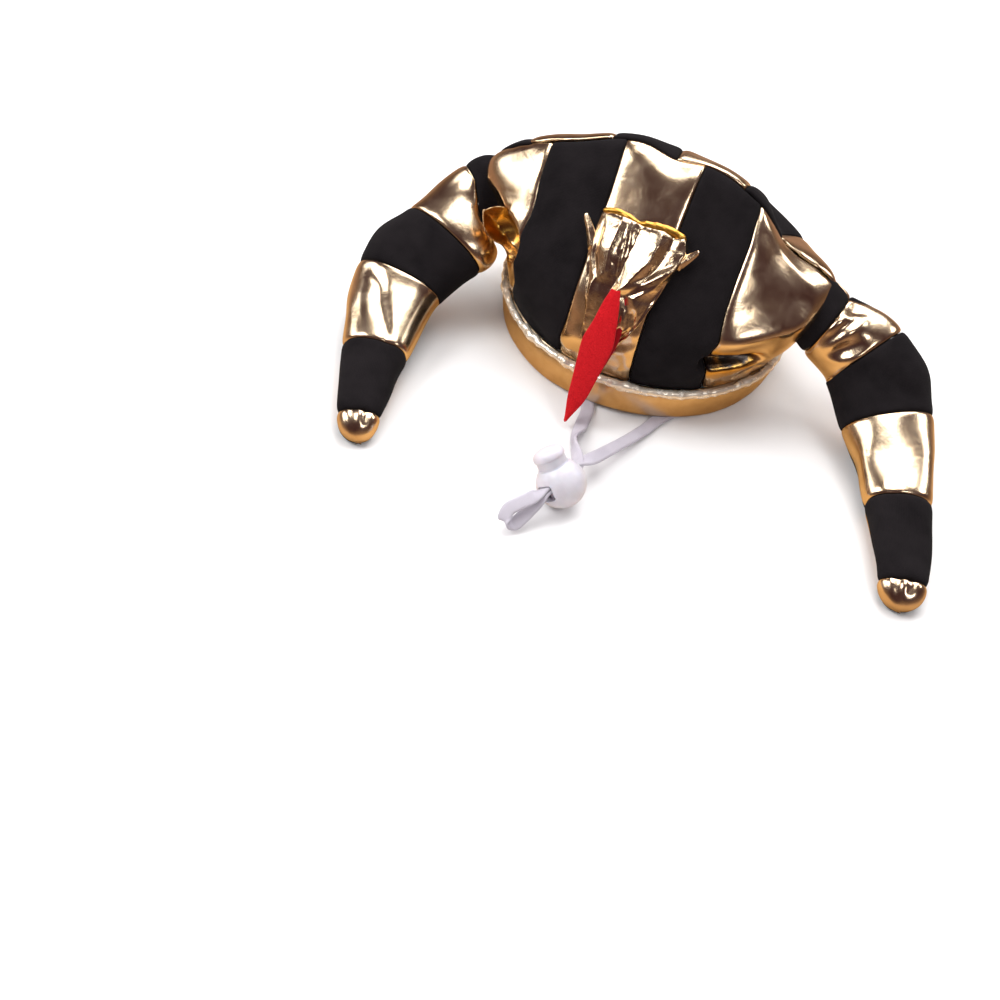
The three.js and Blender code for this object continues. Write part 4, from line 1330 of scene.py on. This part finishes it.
def slot_cutter(rise):
    mesh = bmesh.new()
    bmesh.ops.create_cube(mesh, size=1.0)
    bmesh.ops.scale(mesh, verts=mesh.verts, vec=(LOCK_RADIUS * 4, SLOT_WIDTH, SLOT_HEIGHT))
    long_edges = [e for e in mesh.edges if abs(e.verts[0].co.x - e.verts[1].co.x) > 1]
    bmesh.ops.bevel(mesh, geom=long_edges, offset=SLOT_CORNER, affect="EDGES", segments=4,
                    profile=0.5, material=-1)
    bmesh.ops.translate(mesh, verts=mesh.verts, vec=(0, 0, rise))
    return mesh


def cut(mesh, tool):
    """One bmesh less another, as a new bmesh."""
    pair = [mesh_object("blank", mesh), mesh_object("tool", tool)]
    less = pair[0].modifiers.new("less", "BOOLEAN")
    less.operation = "DIFFERENCE"
    less.object = pair[1]
    less.solver = "EXACT"
    bpy.context.view_layer.update()
    done = bmesh.new()
    done.from_object(pair[0], bpy.context.evaluated_depsgraph_get())
    for shape in pair:
        bpy.data.objects.remove(shape)
    return done


def arc(start, end, centre, radius, steps):
    """Points of an arc between two angles in degrees."""
    for i in range(steps + 1):
        angle = math.radians(start + (end - start) * i / steps)
        yield centre[0] + radius * math.cos(angle), centre[1] + radius * math.sin(angle)


def add_lock():
    lip = math.degrees(math.asin(LOCK_MOUTH / LOCK_RADIUS))
    ball = [(0, LOCK_FLOOR), (LOCK_BORE, LOCK_FLOOR), (LOCK_BORE, LOCK_MOUTH - 0.35),
            (LOCK_BORE, LOCK_MOUTH), *arc(lip, -90, (0, 0), LOCK_RADIUS, 40)]
    ball[-1] = (0, -LOCK_RADIUS)
    knob = [(0, PLUNGER_FOOT), (PLUNGER_RADIUS - 0.3, PLUNGER_FOOT),
            (PLUNGER_RADIUS, PLUNGER_FOOT + 0.3), (PLUNGER_RADIUS, PLUNGER_NECK),
            (PLUNGER_HEAD - 0.1, PLUNGER_NECK + 0.1), (PLUNGER_HEAD, PLUNGER_NECK + 0.4)]
    crown = (PLUNGER_HEAD - PLUNGER_ROUND, PLUNGER_TOP - PLUNGER_ROUND)
    knob += [*arc(0, 90, crown, PLUNGER_ROUND, 8), (0, PLUNGER_TOP + 0.15)]
    place = lock_place()
    made = []
    for name, profile, rise, body, cad, edge in (
        ("lock_barrel_ball", ball, 0, BODY, "lock_barrel", 0.25),
        ("lock_plunger_knob", knob, PLUNGER_TRAVEL, PLUNGER_BODY, "lock_plunger", 0.12),
    ):
        mesh = cut(turned(profile), slot_cutter(rise))
        bmesh.ops.transform(mesh, matrix=place, verts=mesh.verts)
        made.append(add_piece(name, mesh, WHITE_PLASTIC, [cad], body))
        soft = made[-1].modifiers.new("edges", "BEVEL")
        soft.width = edge * MM
        soft.segments = 3
        soft.limit_method = "ANGLE"
        soft.angle_limit = math.radians(BEVEL_ANGLE)
    return made


# Studio
def add_camera():
    azimuth, elevation, roll = map(math.radians, (CAMERA_AZIMUTH, CAMERA_ELEVATION, CAMERA_ROLL))
    level = math.cos(elevation)
    back = Vector((math.sin(azimuth) * level, -math.cos(azimuth) * level, math.sin(elevation)))
    flat_right = Vector((math.cos(azimuth), math.sin(azimuth), 0))
    flat_up = back.cross(flat_right)
    right = flat_right * math.cos(roll) + flat_up * math.sin(roll)
    up = flat_up * math.cos(roll) - flat_right * math.sin(roll)
    base = Matrix((right, up, back)).transposed()
    focal = CAMERA_LENS / CAMERA_SENSOR * FRAME_PIXELS
    across, down = RIM_PIXEL
    aim = Vector(((across - FRAME_PIXELS / 2) / focal, (FRAME_PIXELS / 2 - down) / focal, -1))
    offset = Vector((0, 0, -1)).rotation_difference(aim.normalized()).to_matrix()
    data = bpy.data.cameras.new("camera")
    data.lens = CAMERA_LENS
    data.sensor_width = CAMERA_SENSOR
    camera = link_object("camera", data)
    place = Matrix.Translation(Vector(HAT) + back * CAMERA_DISTANCE)
    camera.matrix_world = place @ (base @ offset.transposed()).to_4x4()
    bpy.context.scene.camera = camera


def add_softbox(name, place, size, power):
    """A rectangle of light, in metres, that looks at the rim."""
    data = bpy.data.lights.new(name, "AREA")
    data.shape = "RECTANGLE"
    data.size, data.size_y = size
    data.energy = power
    lamp = link_object(name, data)
    lamp.location = place
    lamp.visible_camera = False
    lamp.rotation_mode = "QUATERNION"
    lamp.rotation_quaternion = (Vector(HAT) - Vector(place)).to_track_quat("-Z", "Y")


def add_fill():
    """Even light from above for the matt cloths and the floor, which the foil doesn't mirror."""
    data = bpy.data.lights.new("ceiling", "SUN")
    data.energy = FILL_STRENGTH
    data.angle = math.radians(FILL_SPREAD)
    lamp = link_object("ceiling", data)
    lamp.rotation_euler = [math.radians(tilt) for tilt in FILL_TILT]
    lamp.visible_glossy = False


def pick_by_ray(tree, kind, usual, special, end):
    """One shader for most rays, and another for one kind of ray."""
    rays = node(tree, "ShaderNodeLightPath", (-300, 300))
    pick = node(tree, "ShaderNodeMixShader", (300, 0))
    join(tree, (rays.outputs[kind], pick.inputs[0]), (usual.outputs[0], pick.inputs[1]),
         (special.outputs[0], pick.inputs[2]), (pick.outputs[0], tree.nodes[end].inputs["Surface"]))


def add_room():
    """A dim warm room that gleams dark in the foil, and white behind the object for the camera."""
    world = bpy.data.worlds.new("room")
    world.use_nodes = True
    bpy.context.scene.world = world
    tree = world.node_tree
    dim = tree.nodes["Background"]
    dim.inputs["Strength"].default_value = 1.0
    way = node(tree, "ShaderNodeTexCoord", (-900, 0))
    parts = node(tree, "ShaderNodeSeparateXYZ", (-700, 0))
    tone = tone_ramp(tree, parts.outputs["Z"], ROOM_LOW, ROOM_HIGH, (-450, 0), (0, ROOM_RISE))
    join(tree, (way.outputs["Generated"], parts.inputs[0]), (tone, dim.inputs["Color"]))
    white = node(tree, "ShaderNodeBackground", (0, -200), {"Color": (1, 1, 1, 1), "Strength": 1.0})
    pick_by_ray(tree, "Is Camera Ray", dim, white, "World Output")


def add_floor():
    """A pale floor, which the foil mirrors in warm tones."""
    mesh = bmesh.new()
    bmesh.ops.create_circle(mesh, cap_ends=True, segments=96, radius=FLOOR_RADIUS)
    bmesh.ops.translate(mesh, verts=mesh.verts, vec=(0, 0, -FLOOR_DROP))
    floor = mesh_object("floor", mesh)
    material, tree, shader = new_finish("pale floor", Roughness=0.9, Base_Color=FLOOR_GREY)
    where = node(tree, "ShaderNodeTexCoord", (-900, -300))
    far = node(tree, "ShaderNodeVectorMath", (-700, -300), operation="LENGTH")
    tone = tone_ramp(tree, far.outputs["Value"], FLOOR_NEAR, FLOOR_FAR, (-450, -300), FLOOR_TONES)
    warm = node(tree, "ShaderNodeBsdfDiffuse", (0, -300))
    join(tree, (where.outputs["Object"], far.inputs[0]), (tone, warm.inputs["Color"]))
    pick_by_ray(tree, "Is Glossy Ray", shader, warm, "Material Output")
    floor.data.materials.append(material)


add_camera()
add_room()
add_floor()
for softbox in SOFTBOXES:
    add_softbox(*softbox)
add_fill()

elastic, elastic_path, elastic_length = add_elastic()
barrel, plunger = add_lock()
add_crown()
for lappet_side in LAPPETS:
    add_lappet(lappet_side)
add_funnel()
add_rim()
add_bead()
add_hood()
add_hood_ears()
add_hood_roll()
add_tongue()

bpy.context.scene.view_settings.view_transform = "Standard"
